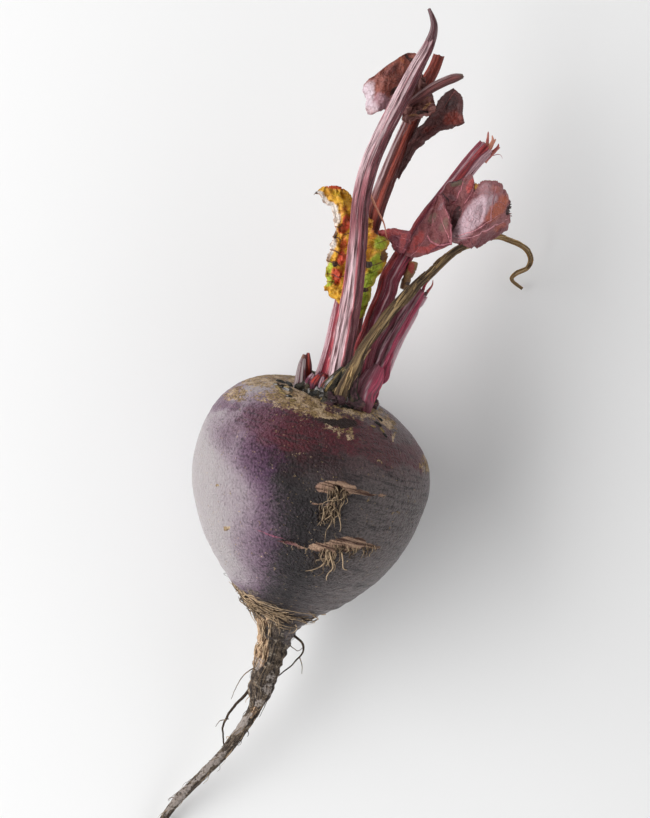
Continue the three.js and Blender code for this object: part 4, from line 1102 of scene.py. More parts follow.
WING_LEAF = [
    [(17.4, 102.6, 43), (18.8, 100.6, 43.6), (20.4, 98.8, 44), (22.4, 95.8, 44.6)],
    [(18.2, 105.4, 42.4), (20.6, 103.6, 42.2), (23, 101.4, 43), (25.2, 99.2, 45.4)],
    [(18.8, 107.4, 41.8), (21.6, 106, 42.2), (24.2, 104.2, 44.4), (26.9, 102.9, 45.4)],
    [(22.4, 109.4, 41), (24, 108, 42.6), (25.8, 107, 44.8), (27.8, 106.5, 45)],
    [(25, 112, 39.4), (25.8, 112, 41.4), (26.4, 111.4, 43), (27.2, 109.6, 44.2)],
]
BROAD_LEAF = [
    [(25, 106.6, 42), (23.4, 101.4, 42), (20.8, 97.4, 42),
     (20.4, 93.4, 42), (22.6, 90.6, 42), (25.2, 89, 42.6)],
    [(28.6, 110, 44), (28.4, 104, 47), (27, 99, 48.8),
     (27.4, 93.4, 48.2), (28, 90.6, 47), (29.4, 88.8, 45)],
    [(31.6, 111.2, 44.5), (31.8, 106.4, 48.4), (31, 101, 49.2),
     (31, 94.6, 50), (31.6, 91.8, 48.6), (32.4, 88.6, 43.6)],
    [(34.6, 112, 44.5), (34.6, 107.6, 47.4), (34.6, 103, 48),
     (34.8, 98.4, 49.8), (35.2, 95.4, 47.8), (36, 91.6, 42)],
    [(37.7, 109.8, 43), (37.6, 107, 45.2), (37.6, 104, 45.4),
     (38.2, 101, 46), (38.8, 98.8, 44.8), (39.6, 95.2, 40.4)],
    [(40.2, 107, 41), (40.8, 105.4, 41.6), (41, 104, 41.8),
     (41.4, 102.8, 42), (41.9, 101.6, 41.4), (42.3, 98.5, 38.6)],
]
SMALL_TIP = [
    [(11, 88, 50.4), (11.4, 85.6, 51.4), (11.2, 83, 51.4), (10.6, 80.4, 50.6)],
    [(8, 88, 51), (8.2, 85.6, 53), (8, 83, 53), (7.8, 80.6, 51)],
    [(5, 87.4, 52), (5.2, 85.8, 53.6), (5.4, 84.2, 53.4), (5.6, 82.6, 52)],
    [(2.6, 86.2, 52.6), (2.8, 85.4, 53.6), (3, 84.6, 53.6), (3.2, 83.8, 52.8)],
    [(0.8, 84.9, 53), (0.9, 84.6, 53.4), (1, 84.3, 53.4), (1.1, 83.9, 53)],
]
LEAF_SCRAP = [
    [(16, 79, 48), (14.5, 79, 49), (13, 78.5, 48)],
    [(15.8, 76, 47.5), (14.2, 75.5, 49), (12.8, 75.5, 47.5)],
    [(15, 72.5, 47), (13.8, 72.5, 48.5), (12.5, 72.5, 47)],
    [(14.4, 69.5, 46.5), (13.6, 69.5, 47), (12.6, 69.5, 46.5)],
]

# Finish colours: base, deep, vein, pale, warm, fresh, burnt (also used for painted shadow), back.
RED_BLADE = ("9c4650", "6a2a38", "de8c98", "a88890", "c4504c", "7c6a58", "321620", "8a504e")
BLADES = {
    "yellow_leaf": {
        "net": YELLOW_LEAF, "slot": "yellow_blade",
        "finish": ("e2ac1c", "b4701c", "5c2414", "e2dad2", "c63c1e", "a4b822", "332010", "b8a868"),
        "form": {"along": 120, "across": 70, "tear": 0.1, "crinkle": 0.5, "seed": 2, "crumple": 0.7,
                 "cad_along": 18, "cad_across": 10, "ragged": 0.04, "fold_size": 2.6},
        "veins": [
            ([(u, 0.5), (u - 0.02, 0.62), (u - 0.05, 0.75), (u - 0.055, reach)], strength, 0.008)
            for u, strength, reach in (
                (0.31, 0.6, 0.9), (0.4, 0.9, 0.98), (0.45, 0.5, 0.8), (0.56, 0.8, 0.98), (0.6, 0.5, 0.86),
                (0.71, 0.9, 0.98), (0.76, 0.6, 0.9), (0.85, 0.8, 0.98), (0.9, 0.5, 0.85), (0.97, 0.8, 0.98),
            )
        ] + [
            ([(u, 0.42), (u - 0.025, 0.25), (u - 0.03, 0.04)], 0.9, 0.01)
            for u in (0.38, 0.46, 0.55, 0.63, 0.72, 0.79)
        ],
        "patches": {
            "pale": [
                (-19.5, 90.8, 3, 1.4, -20, 1), (-16, 88.6, 2.8, 1.9, -35, 1), (-14, 85.4, 1.8, 2.4, -20, 1),
                (-13.4, 81.4, 1.2, 2.6, 0, 0.9), (-12.9, 76, 1.6, 5, 5, 1), (-13, 71, 1.2, 1.8, 0, 0.7),
            ],
            "warm": [
                (-17, 95.2, 5, 0.8, 8, 0.9), (-12, 88, 1.2, 3.4, -20, 0.45), (-10.2, 84, 1.5, 3.4, -10, 1),
                (-9.2, 78, 1.3, 2.6, 0, 0.7), (-8.6, 73.6, 1.5, 2.4, 0, 0.9), (-8.8, 67.4, 2, 2.6, 0, 0.9),
                (-0.9, 84.6, 1, 3, 0, 0.6), (-0.6, 78, 1.1, 3, 0, 0.4),
            ],
            "fresh": [
                (-11.6, 69.4, 1.8, 2.4, 0, 0.9), (-11.4, 65, 2.2, 2, 0, 1), (2.4, 82, 2.2, 3, 0, 1),
                (2.8, 75, 2.4, 3.6, -10, 0.9), (2.6, 69, 2.6, 4, -10, 1), (2.2, 61.5, 2.8, 5, -5, 1),
                (-15.4, 93.4, 2, 0.8, -20, 0.4),
            ],
            "burnt_and_shadow": [
                (-22.8, 91.4, 1.2, 1.4, 0, 1), (4.8, 78.4, 1.5, 2.6, -35, 1), (0.2, 74.2, 1.5, 1.3, 0, 0.8),
                (1.6, 65.6, 1.5, 0.9, 0, 0.8), (-12.4, 80.2, 1, 1.4, 0, 0.7), (-9.8, 71, 1, 1.2, 0, 0.7),
                (-0.7, 68, 0.7, 3, 0, 0.6), (-11.6, 83.4, 0.7, 1, 0, 0.6),
            ],
        },
    },
    "top_leaf": {
        "net": TOP_LEAF, "slot": "brown_blade",
        "finish": ("96503f", "6a302a", "b07c74", "cebcc4", "b0603c", "a8808a", "3a1a14", "a4888a"),
        "form": {"along": 90, "across": 70, "tear": 0.03, "crinkle": 0.25, "seed": 4,
                 "cad_along": 12, "cad_across": 9, "crumple": 0.3, "ragged": 0.02},
        "veins": [
            ([(0, 0.5), (0.35, 0.46), (0.7, 0.42)], 0.6, 0.012),
            ([(0.45, 0.45), (0.65, 0.2), (0.8, 0.05)], 0.5, 0.012),
            ([(0.25, 0.48), (0.5, 0.75), (0.65, 0.95)], 0.5, 0.012),
        ],
        "patches": {
            "pale": [(-14.4, 126.6, 2.8, 5, -8, 0.9), (-12, 123.4, 2.6, 2.6, 0, 0.7)],
            "fresh": [(-9.4, 125.4, 3.4, 3, 0, 0.9), (-5.5, 127, 2, 3, 0, 0.5)],
            "warm": [(-7, 141, 3, 0.6, -30, 0.8)],
            "burnt_and_shadow": [(-6, 130.5, 1, 2.4, -35, 0.7), (-4, 142, 3, 0.6, -15, 0.8)],
            "deep": [(-3, 134, 3, 3.5, 10, 1), (-9, 136, 1.2, 3, -40, 0.8)],
        },
    },
    "torn_leaf": {
        "net": TORN_LEAF, "slot": "torn_blade",
        "finish": ("9e4c3c", "602820", "cc8c80", "b08a86", "c0905c", "70523c", "301410", "86605c"),
        "form": {"along": 60, "across": 60, "tear": 0.1, "crinkle": 0.5, "seed": 7,
                 "cad_along": 7, "cad_across": 9, "crumple": 0.6, "ragged": 0.06, "fold_size": 2.4},
        "veins": [([(0, 0.6), (0.5, 0.5), (1, 0.3)], 0.6, 0.03), ([(0.2, 0.9), (0.9, 0.7)], 0.8, 0.02)],
        "patches": {
            "warm": [(5.5, 128.5, 0.5, 2, -20, 0.9), (2, 124, 2, 0.6, 10, 0.7), (4, 131, 1.6, 0.4, 40, 0.8)],
            "burnt_and_shadow": [(4.5, 125.5, 2, 0.8, 10, 0.9)],
            "deep": [(2, 130, 2, 4, 0, 0.6)],
        },
    },
    "dark_leaf": {
        "net": DARK_LEAF, "slot": "dark_blade",
        "finish": ("4e1c18", "300c0c", "8a4c48", "86504c", "7c2e22", "4a3028", "1c0b0b", "57302f"),
        "form": {"along": 110, "across": 48, "tear": 0.04, "crinkle": 0.25, "seed": 3,
                 "cad_along": 14, "cad_across": 6, "crumple": 0.35, "ragged": 0.03},
        "veins": [
            ([(0.72, 0.3), (0.98, 0.12)], 0.9, 0.02), ([(0.3, 0.5), (0.7, 0.62)], 0.5, 0.016),
        ],
        "patches": {
            "pale": [(4.6, 116.5, 0.4, 3, -40, 0.6)],
            "warm": [(14.5, 126.6, 3.4, 2.4, 20, 0.9), (8, 121.5, 3, 0.8, 45, 0.6)],
            "deep": [(12.5, 131.5, 2.4, 2.4, 0, 0.8)],
        },
    },
    "folded_leaf": {
        "net": FOLDED_LEAF, "slot": "red_blade", "finish": RED_BLADE,
        "form": {"along": 100, "across": 70, "tear": 0.02, "crinkle": 0.2, "seed": 5,
                 "cad_along": 11, "cad_across": 8, "crumple": 0.4, "ragged": 0.012, "fold_size": 4},
        "veins": [
            ([(0.06, 0.96), (0.3, 0.965), (1, 0.94)], 1, 0.035),
            ([(0.95, 0.5), (0.6, 0.72), (0.3, 0.86), (0.08, 0.94)], 0.8, 0.018),
            ([(0.3, 0.42), (0.2, 0.55), (0.1, 0.75), (0.05, 0.95)], 0.9, 0.022),
            ([(0.7, 0.3), (0.58, 0.42), (0.5, 0.46)], 0.8, 0.02), ([(0.3, 0.42), (0.46, 0.36)], 0.6, 0.018),
            ([(0.58, 0.42), (0.66, 0.5)], 0.7, 0.016), ([(0.3, 0.42), (0.1, 0.3), (0.03, 0.2)], 0.7, 0.02),
        ],
        "patches": {
            "fresh": [
                (16.6, 94.6, 1.2, 2.4, -20, 0.6), (21, 93, 1.4, 2.6, -15, 0.6),
                (20.6, 87.4, 1.8, 1, 20, 0.5),
            ],
            "warm": [(14, 86, 1.6, 3.4, -15, 0.8), (17.6, 84.4, 5, 1, 35, 0.8), (12.6, 83, 2, 2, 0, 0.6)],
            "deep": [(22, 86.4, 3.6, 0.7, 38, 1), (12.6, 82, 1.6, 1.4, 0, 0.6)],
            "pale": [(19, 99.4, 0.9, 2, -35, 0.5)],
        },
    },
    "wing_leaf": {
        "net": WING_LEAF, "slot": "red_blade", "finish": RED_BLADE,
        "form": {"along": 70, "across": 56, "tear": 0.02, "crinkle": 0.12, "seed": 6,
                 "cad_along": 6, "cad_across": 5, "crumple": 0.3, "ragged": 0.012},
        "veins": [
            ([(0.85, 0.1), (0.6, 0.5), (0.35, 0.62), (0.2, 0.6)], 1, 0.03),
            ([(0.9, 0.85), (0.5, 0.9), (0.15, 0.95)], 0.9, 0.028),
            ([(0.2, 0.2), (0.1, 0.6), (0.1, 0.9)], 0.5, 0.02),
        ],
        "patches": {
            "pale": [(21.4, 103.4, 2, 1.6, -30, 0.45)],
            "warm": [(26.4, 108.4, 1.2, 3, -10, 0.9)], "fresh": [(22, 108.2, 2, 1, 25, 0.9)],
            "burnt_and_shadow": [(21.4, 109, 2, 0.4, 30, 0.9), (19.4, 102, 2, 0.6, -40, 0.6)],
        },
    },
    "broad_leaf": {
        "net": BROAD_LEAF, "slot": "veined_blade",
        "finish": ("a84a50", "6c2a30", "e4a0aa", "d8bcc6", "cc9420", "b85c3c", "401a1c", "905c5c"),
        "form": {"along": 120, "across": 110, "tear": 0.03, "crinkle": 0.12, "seed": 9,
                 "cad_along": 12, "cad_across": 11, "crumple": 0.4, "ragged": 0.05, "fold_size": 5},
        "veins": [
            ([(0.16, 0.74), (0.26, 0.66), (0.62, 0.62)], 1, 0.018),
            ([(0.62, 0.62), (0.6, 0.35), (0.58, 0.1)], 1, 0.018),
            ([(0.14, 0.8), (0.4, 0.79), (0.98, 0.79)], 1, 0.018),
            ([(0.24, 0.56), (0.36, 0.44), (0.5, 0.2)], 0.6, 0.01),
            ([(0.3, 0.5), (0.5, 0.48)], 0.5, 0.008),
            ([(0.6, 0.35), (0.8, 0.3), (0.97, 0.34)], 0.7, 0.012),
            ([(0.62, 0.62), (0.8, 0.57), (0.97, 0.56)], 0.8, 0.012),
            ([(0.3, 0.79), (0.44, 0.95)], 0.5, 0.01), ([(0.78, 0.3), (0.82, 0.05)], 0.6, 0.01),
        ],
        "patches": {
            # Painted highlight: the glossy sheen on the middle panel and near its top.
            "pale": [
                (29.8, 98.4, 3.4, 9.4, -24, 0.74), (33, 103.6, 1.8, 4.4, -22, 0.6),
                (31.6, 108, 2.6, 3, -10, 0.35),
            ],
            "warm": [(27.6, 108.6, 1.1, 1.8, -30, 1)],
            "fresh": [
                (36.6, 103, 2.2, 6, -22, 0.85), (34.6, 109, 2, 1.4, 0, 0.5),
                (38.6, 97.6, 2.6, 1, 47, 0.6),
            ],
            # The long patch along the left edge is painted shadow in the gap by the folded leaf; the others
            # are burnt spots.
            "burnt_and_shadow": [
                (40.8, 105, 1, 3, -20, 0.8), (24.2, 95, 1.1, 6, -8, 1), (26, 103.6, 1, 3.4, -36, 0.9),
            ],
            # The last deep patch, along the left, is painted shadow between the wing leaf and the panel.
            "deep": [
                (36, 92.6, 7.4, 1.9, 47, 1), (29.6, 90.6, 2.4, 1.2, 40, 0.9), (33.6, 96, 4, 1.2, 46, 0.8),
                (29, 104.6, 1, 3, -30, 0.8), (26.4, 98.6, 1, 4, -10, 0.7),
            ],
        },
    },
    "small_leaf_tip": {
        "net": SMALL_TIP, "slot": "red_blade", "finish": RED_BLADE,
        "form": {"along": 70, "across": 50, "tear": 0.04, "crinkle": 0.15, "seed": 8,
                 "cad_along": 6, "cad_across": 5, "crumple": 0.35, "ragged": 0.02, "fold_size": 2.6},
        "veins": [([(0, 0.4), (0.5, 0.45), (1, 0.5)], 0.6, 0.03), ([(0, 0.8), (0.4, 0.7)], 0.6, 0.025)],
        "patches": {
            "warm": [(2.6, 85.2, 3.4, 2, 20, 1), (6.6, 86.4, 2, 1.6, 0, 0.7), (9.4, 84, 1, 3, 10, 0.7)],
            "deep": [(7.6, 83, 0.8, 2.4, 20, 0.8), (10.6, 83, 0.6, 2.4, 0, 0.6)],
        },
    },
    "leaf_scrap": {
        "net": LEAF_SCRAP, "slot": "scrap_blade",
        "finish": ("b07c28", "6c3c1c", "b8904a", "b8a078", "a23a34", "6c6a28", "2e1c14", "8a6a48"),
        "form": {"along": 50, "across": 24, "tear": 0.1, "crinkle": 0.15, "seed": 1,
                 "cad_along": 5, "cad_across": 3, "crumple": 0.25, "ragged": 0.05},
        "veins": [], "patches": {"warm": [(14.5, 77, 1, 2, 0, 0.9)], "burnt_and_shadow": [(14, 71.5, 1, 1, 0, 0.8)]},
    },
}


def make_blade(node, design, finishes):
    slot = design["slot"]
    if slot not in finishes:
        finishes[slot] = make_blade_finish(slot, *design["finish"])
    body = blade_body(design["net"], design["veins"], design["patches"], **design["form"])
    return new_piece("crumpled_" + node, finishes[slot], *body)


# ---------------------------------------------------------------- crown

CROWN_RADIUS = 13
CROWN_ROWS = 90
CROWN_SIDES = 220
CROWN_FOOT = np.array([1, 27.8, MIDDLE_Z + 31.8 * math.tan(LEAN)])
# Height over the foot and share of the radius there.
CROWN_STEPS = [(0, 1), (3, 1.04), (5, 1), (6.5, 0.86), (7.2, 0.55), (7.6, 0.02)]


def crown_place(angle, radius, height):
    """Places on the crown: the angle round its axis, the radius and the height."""
    centre = CROWN_FOOT + ROOT_AXIS * np.asarray(height)[..., None]
    return off_axis(centre, *framing(ROOT_AXIS), radius, angle)


def crown_disc():
    t, angle = tube_grid(CROWN_ROWS, CROWN_SIDES)
    height, share = np.moveaxis(read_rows(CROWN_STEPS)(t), -1, 0)
    scaly = 1 + 0.07 * np.sin(7 * angle + 2) + 0.04 * np.sin(11 * angle + height)
    points = crown_place(angle, CROWN_RADIUS * share * scaly, height)
    normals = grid_normals(points, CROWN_FOOT)
    crust = 0.9 * cloud(points, 2.6, 7, 4, 0.6) - 0.7 * smooth(0.5, 1, creases(points, 3, 13, 2))
    points = points + normals * crust[..., None]
    masks = {
        "pale": smooth(0.15, 0.6, cloud(points, 2.4, 19, 2)) * 0.7,
        "deep": smooth(0, 0.5, cloud(points, 3, 23, 2)),
        "warm": smooth(0.3, 0.7, cloud(points, 3.4, 29, 2)),
        "dry": smooth(0.1, 0.6, np.cos(angle - 0.5)),
        # Painted shade in the hollows of the crust.
        "groove": smooth(0.2, -0.6, crust),
    }
    poles = np.stack([CROWN_FOOT, CROWN_FOOT + ROOT_AXIS * (CROWN_STEPS[-1][0] + 0.1)])
    flat = {key: np.concatenate([mask.ravel(), [0, 0]]) for key, mask in masks.items()}
    body = np.concatenate([points.reshape(-1, 3), poles])
    return body, tube_faces(CROWN_ROWS, CROWN_SIDES), flat, body


# Old leaf bases: angle round the crown in degrees, radius, rise, width, kind.
FLAPS = [
    (160, 12.8, 3.6, 3.4, "grey"), (150, 12.6, 4, 4, "dark"), (141, 12.8, 3, 3.4, "teal"),
    (132, 12.6, 4.4, 4.2, "teal"), (123, 12.8, 3.4, 3.6, "dark"), (115, 12.2, 6, 4, "papery"),
    (109, 12.6, 4.4, 2.6, "papery"), (102, 12.8, 3, 3.6, "dark"), (92, 12.8, 2.6, 3.2, "dark"),
    (80, 12.8, 2.4, 3, "teal"), (70, 12.8, 2.6, 3.4, "dark"), (58, 12.8, 2.4, 3.4, "dark"),
    (44, 12.8, 2.4, 3, "plum"), (30, 12.8, 3.4, 3, "dark"), (18, 12.8, 4, 3, "tan"),
    (6, 12.6, 4, 3.4, "dark"), (172, 12.8, 4, 3.4, "dark"), (184, 12.6, 4.6, 3.6, "tan"),
    # The rest of the ring, evenly spaced.
    *((195 + 14.5 * k, 12.2, 4.5, 3.8, ("dark", "grey", "tan")[k % 3]) for k in range(11)),
]
# Along a flap: how far past its radius, share of its rise, height added, share of its width.
FLAP_ROWS = ((-2.2, 0, 1, 1.05), (-0.4, 0.55, 0, 1), (0.4, 0.8, 0.4, 0.8))
FLAP_TIP = (1, 0.6, 0.45)
FLAP_SEED = 40
FLAP_FORM = {
    "depth": 0.24, "ribs": 4, "rib": 0.05, "steps": 34, "sides": 40, "rough": 0.12,
    "groove": 0.16, "jag": 0.34, "jag_from": 0.25,
}
# Dried skins at the feet of the stalks.
SHEATHS = [
    (
        [(3.8, 26, 53.4, 13), (3.4, 29.4, 56, 11.6), (3.2, 33, 57.2, 8.6), (4, 37.5, 58.4, 6),
         (5.2, 42.5, 58.8, 3.6)],
        {
            "deep": [
                whole(end=0.16), (-0.6, -0.5, -0.35, -0.25, 0.3, 2), (0.25, 0.35, 0.45, 0.55, 0.3, 2),
            ],
            "warm": [(-0.14, 0, 0.1, 0.24, 0.25, 2), (-0.9, -0.8, -0.7, -0.6, 0.4, 0.8)],
            "dry": [(0.5, 0.7, 0.9, 1, 0.3, 0.8)],
            "pale": [(0.2, 0.3, 0.36, 0.44, 0.14, 0.5)],
        },
    ),
    (
        [(-1.6, 27, 54.4, 4.6), (-2, 31, 57, 4.4), (-0.6, 35, 58.4, 3.2), (1.6, 39.6, 58.4, 1.6)],
        {"warm": [(-0.4, -0.2, 0, 0.2, 0.3, 2)], "pale": [(-0.8, -0.6, -0.5, -0.3, 0.2, 0.7)]},
    ),
]
SHEATH_SEED = 71
SHEATH_FORM = {
    "depth": 0.24, "ribs": 14, "rib": 0.05, "steps": 100, "sides": 100, "rough": 0.1,
    "groove": 0.22, "jag": 0.1, "jag_from": 0.6,
}
# Flakes of old scars that lie on the skin beside the crown: x, y, heading, length, width, kind.
FLAKES = [
    (-13, 27.2, 170, 3.2, 2.4, "grey"), (-15.2, 28.4, 200, 2.6, 1.6, "teal"),
    (-16.4, 26.8, 160, 2.4, 1.2, "tan"), (-12.4, 25.6, 185, 2.2, 1.2, "teal"),
    (-17.6, 28.4, 190, 2, 1.2, "grey"), (-14.6, 26, 175, 2.4, 1.2, "tan"),
    (-16, 29.4, 178, 3, 1.4, "dark"), (-13.6, 29, 160, 2.4, 1.6, "dark"),
    (-10.6, 24.8, 190, 2.2, 1.2, "tan"), (15.6, 24.8, -20, 2.6, 1.2, "dark"),
    (17.6, 23.6, -40, 2.4, 1, "tan"), (19, 22, -35, 2, 0.8, "dark"),
    (14.6, 23.4, -10, 1.8, 0.9, "tan"), (16.4, 26.4, -30, 2, 1, "dark"),
]
# Along a flake: share of its length, lift off the skin, share of its width.
FLAKE_ROWS = ((0, -0.3, 0.9), (0.3, 0.15, 1), (0.7, 0.25, 0.8), (1, 0.5, 0.4))
FLAKE_SEED = 80
FLAKE_FORM = {
    "depth": 0.22, "ribs": 5, "rib": 0.08, "steps": 30, "sides": 36, "rough": 0.25,
    "groove": 0.2, "jag": 0.3, "jag_from": 0.4,
}
FLAP_BANDS = {
    "papery": {"pale": [whole(0.1)]},
    "grey": {"pale": [(-0.9, -0.5, 0.2, 0.6, 0.3, 0.9)], "warm": [(0.3, 0.6, 2, 3, 0.4, 2)]},
    "plum": {"dry": [whole()]},
    "dark": {"deep": [whole()]},
    "teal": {"deep": [whole(end=0.7)], "pale": [(-0.2, 0, 0.3, 0.5, 0.5, 0.9)]},
    "tan": {"warm": [whole()]},
}


def crown_flaps():
    rng = np.random.default_rng(5)
    flaps = []
    for k, (degrees, radius, rise, width, kind) in enumerate(FLAPS):
        angle = math.radians(degrees)
        lean = 0.6 + 1.2 * rng.random()
        rows = [
            (*crown_place(angle, radius + out, rise * share + lift), width * size)
            for out, share, lift, size in (*FLAP_ROWS, (lean, *FLAP_TIP))
        ]
        turn = angle - TURN / 4
        flaps.append(stem_body(rows, FLAP_BANDS[kind], seed=FLAP_SEED + k, roll=turn, **FLAP_FORM))
    for k, (rows, bands) in enumerate(SHEATHS):
        flaps.append(stem_body(rows, bands, seed=SHEATH_SEED + k, **SHEATH_FORM))
    return flaps


def skin_flakes(on_skin):
    flakes = []
    for k, (x, y, degrees, length, width, kind) in enumerate(FLAKES):
        angle = math.radians(degrees)
        east, north = math.cos(angle) * length, math.sin(angle) * length
        rows = [
            (*on_skin(x + share * east, y + share * north, lift), width * size)
            for share, lift, size in FLAKE_ROWS
        ]
        flakes.append(stem_body(rows, FLAP_BANDS[kind], seed=FLAKE_SEED + k, **FLAKE_FORM))
    return flakes


def make_crown_finish():
    nodes = Finish("crown_cork", 0.7, specular=0.4)
    rough = nodes.mottle(420, 5, 0.7)
    fine = nodes.mottle(1600, 3, 0.7)
    colour = nodes.blend(nodes.window(rough, 0.38, 0.62), "2a2a24", "6a5a44")
    edge = nodes.times(nodes.maths("SUBTRACT", rough, 0.5), 1.2)
    for key, code, limit in (
        ("deep", "191f20", 0.9), ("warm", "b39860", 0.9), ("dry", "6c4450", 0.85), ("pale", "b9b6b4", 1),
    ):
        part = nodes.window(nodes.plus(nodes.stored(key), edge), 0.35, 0.6)
        colour = nodes.layer(colour, part, code, limit)
    colour = nodes.layer(colour, nodes.window(nodes.fibres(9, 0.05), 0.48, 0.54), "231d18", 0.75)
    # Painted shade in the hollows of the crust and the grooves of the flaps.
    colour = nodes.layer(colour, nodes.stored("groove"), "141412", 0.6)
    colour = nodes.layer(colour, nodes.window(fine, 0.6, 0.72), "98907c", 0.5)
    return nodes.done(colour, nodes.plus(rough, nodes.times(fine, 0.6)), 0.0009)


def make_crown(on_skin):
    body = join_parts([crown_disc(), *crown_flaps(), *skin_flakes(on_skin)])
    return new_piece("crown_crust", make_crown_finish(), *body)


# ---------------------------------------------------------------- roots as thin as hair

HAIR_INPUTS = {
    "Spacing": (FLOAT, 0.0005), "Wander": (FLOAT, 0), "Wander Size": (FLOAT, 260.0),
    "Sides": ("NodeSocketInt", 6), "Seed": ("NodeSocketInt", 0),
    "Finish": ("NodeSocketMaterial", None),
}
GEOMETRY = "NodeSocketGeometry"


def make_hair_tree():
    """Turns the edges of a mesh into round hairs that wander a little."""
    tree = bpy.data.node_groups.new("hairs_along_lines", "GeometryNodeTree")
    tree.interface.new_socket("Geometry", in_out="INPUT", socket_type=GEOMETRY)
    for key, (kind, _) in HAIR_INPUTS.items():
        tree.interface.new_socket(key, in_out="INPUT", socket_type=kind)
    tree.interface.new_socket("Geometry", in_out="OUTPUT", socket_type=GEOMETRY)
    nodes = Nodes(tree)
    given = nodes.add("NodeGroupInput").outputs
    curve = nodes.add("GeometryNodeMeshToCurve", {"Mesh": given["Geometry"]}).outputs[0]
    inputs = {"Curve": curve, "Length": given["Spacing"]}
    curve = nodes.add("GeometryNodeResampleCurve", inputs, mode="LENGTH").outputs[0]
    place = nodes.add("GeometryNodeInputPosition").outputs[0]
    inputs = {"Vector": place, "W": given["Seed"], "Scale": given["Wander Size"], "Detail": 2}
    noise = nodes.add("ShaderNodeTexNoise", inputs, noise_dimensions="4D").outputs["Color"]
    swing = nodes.vector_maths("SUBTRACT", {0: noise, 1: (0.5, 0.5, 0.5)})
    swing = nodes.vector_maths("SCALE", {0: swing, "Scale": given["Wander"]})
    curve = nodes.add("GeometryNodeSetPosition", {"Geometry": curve, "Offset": swing}).outputs[0]
    thick = nodes.add("GeometryNodeInputNamedAttribute", {"Name": "thick"}, data_type="FLOAT")
    inputs = {"Resolution": given["Sides"], "Radius": 1}
    circle = nodes.add("GeometryNodeCurvePrimitiveCircle", inputs).outputs[0]
    inputs = {
        "Curve": curve, "Profile Curve": circle, "Scale": thick.outputs[0], "Fill Caps": True,
    }
    hairs = nodes.add("GeometryNodeCurveToMesh", inputs).outputs[0]
    hairs = nodes.add("GeometryNodeRealizeInstances", {"Geometry": hairs}).outputs[0]
    inputs = {"Geometry": hairs, "Material": given["Finish"]}
    hairs = nodes.add("GeometryNodeSetMaterial", inputs).outputs[0]
    nodes.add("NodeGroupOutput", {"Geometry": hairs})
    return tree


HAIRS = make_hair_tree()
HAIR_POINTS = 4  # for each place of its line


def make_hairs(name, hairs, finish, wander, seed):
    """One plain mesh of hairs. Each hair is its points, its thickness at both ends and its tint."""
    points, edges, thick, tint = [], [], [], []
    for line, (foot, tip), shade in hairs:
        line = read_rows(line)(np.linspace(0, 1, HAIR_POINTS * len(line)))
        start = len(points)
        points += (line * MM).tolist()
        edges += [(start + k, start + k + 1) for k in range(len(line) - 1)]
        thick += (np.linspace(foot, tip, len(line)) * MM).tolist()
        tint += [shade] * len(line)
    mesh = bpy.data.meshes.new(name + "_lines")
    mesh.from_pydata(points, edges, [])
    store(mesh, "thick", thick)
    store(mesh, "tint", tint)
    lines = link(name + "_lines", mesh)
    modifier = lines.modifiers.new("hairs", "NODES")
    modifier.node_group = HAIRS
    values = {key: value for key, (_, value) in HAIR_INPUTS.items()}
    values |= {"Wander": wander, "Seed": seed, "Finish": finish}
    for item in HAIRS.interface.items_tree:
        if item.in_out == "INPUT" and item.name in values:
            modifier[item.identifier] = values[item.name]
    graph = bpy.context.evaluated_depsgraph_get()
    whole_mesh = bpy.data.meshes.new_from_object(lines.evaluated_get(graph))
    bpy.data.objects.remove(lines)
    bpy.data.meshes.remove(mesh)
    whole_mesh.name = name
    whole_mesh.shade_smooth()
    return link(name, whole_mesh)


def make_hair_finish(name, dark, light, roughness=0.8):
    nodes = Finish(name, roughness, specular=0.3)
    mottle = nodes.mottle(700, 3, 0.6)
    tint = nodes.plus(nodes.stored("tint"), nodes.maths("SUBTRACT", mottle, 0.5))
    return nodes.done(nodes.blend(nodes.window(tint, 0.1, 0.9), dark, light), mottle, 0.0002)


OVERHEAD = 0.2
SKIN_HEIGHT = 0.03


def make_skin_finder(root):
    """Gives the point on the upper skin under a place seen from above, lifted off it."""
    mesh = root.data
    corners = [v.co for v in mesh.vertices]
    tree = BVHTree.FromPolygons(corners, [tuple(p.vertices) for p in mesh.polygons])

    def on_skin(x, y, lift):
        hit = tree.ray_cast(Vector((x * MM, y * MM, OVERHEAD)), Vector((0, 0, -1)))
        if hit[0] is None:
            hit = tree.find_nearest(Vector((x * MM, y * MM, SKIN_HEIGHT)))
        return np.array(hit[0] + hit[1] * lift * MM) / MM

    return on_skin


# Tufts of rootlets: number, x, y, spread, shortest and longest run, thickest.
TUFTS = [
    (34, 9.6, 1.6, 1.7, 2, 7, 0.26), (44, 8.8, -4.6, 1.2, 1.5, 6.5, 0.3), (30, 11.6, -18.4, 1.7, 1.5, 6, 0.3),
    (46, 17.5, -15.6, 3.6, 1, 3.6, 0.2), (16, 24, -14, 1.6, 1, 2.4, 0.14), (14, 3, -19, 3, 0.8, 1.8, 0.12),
]
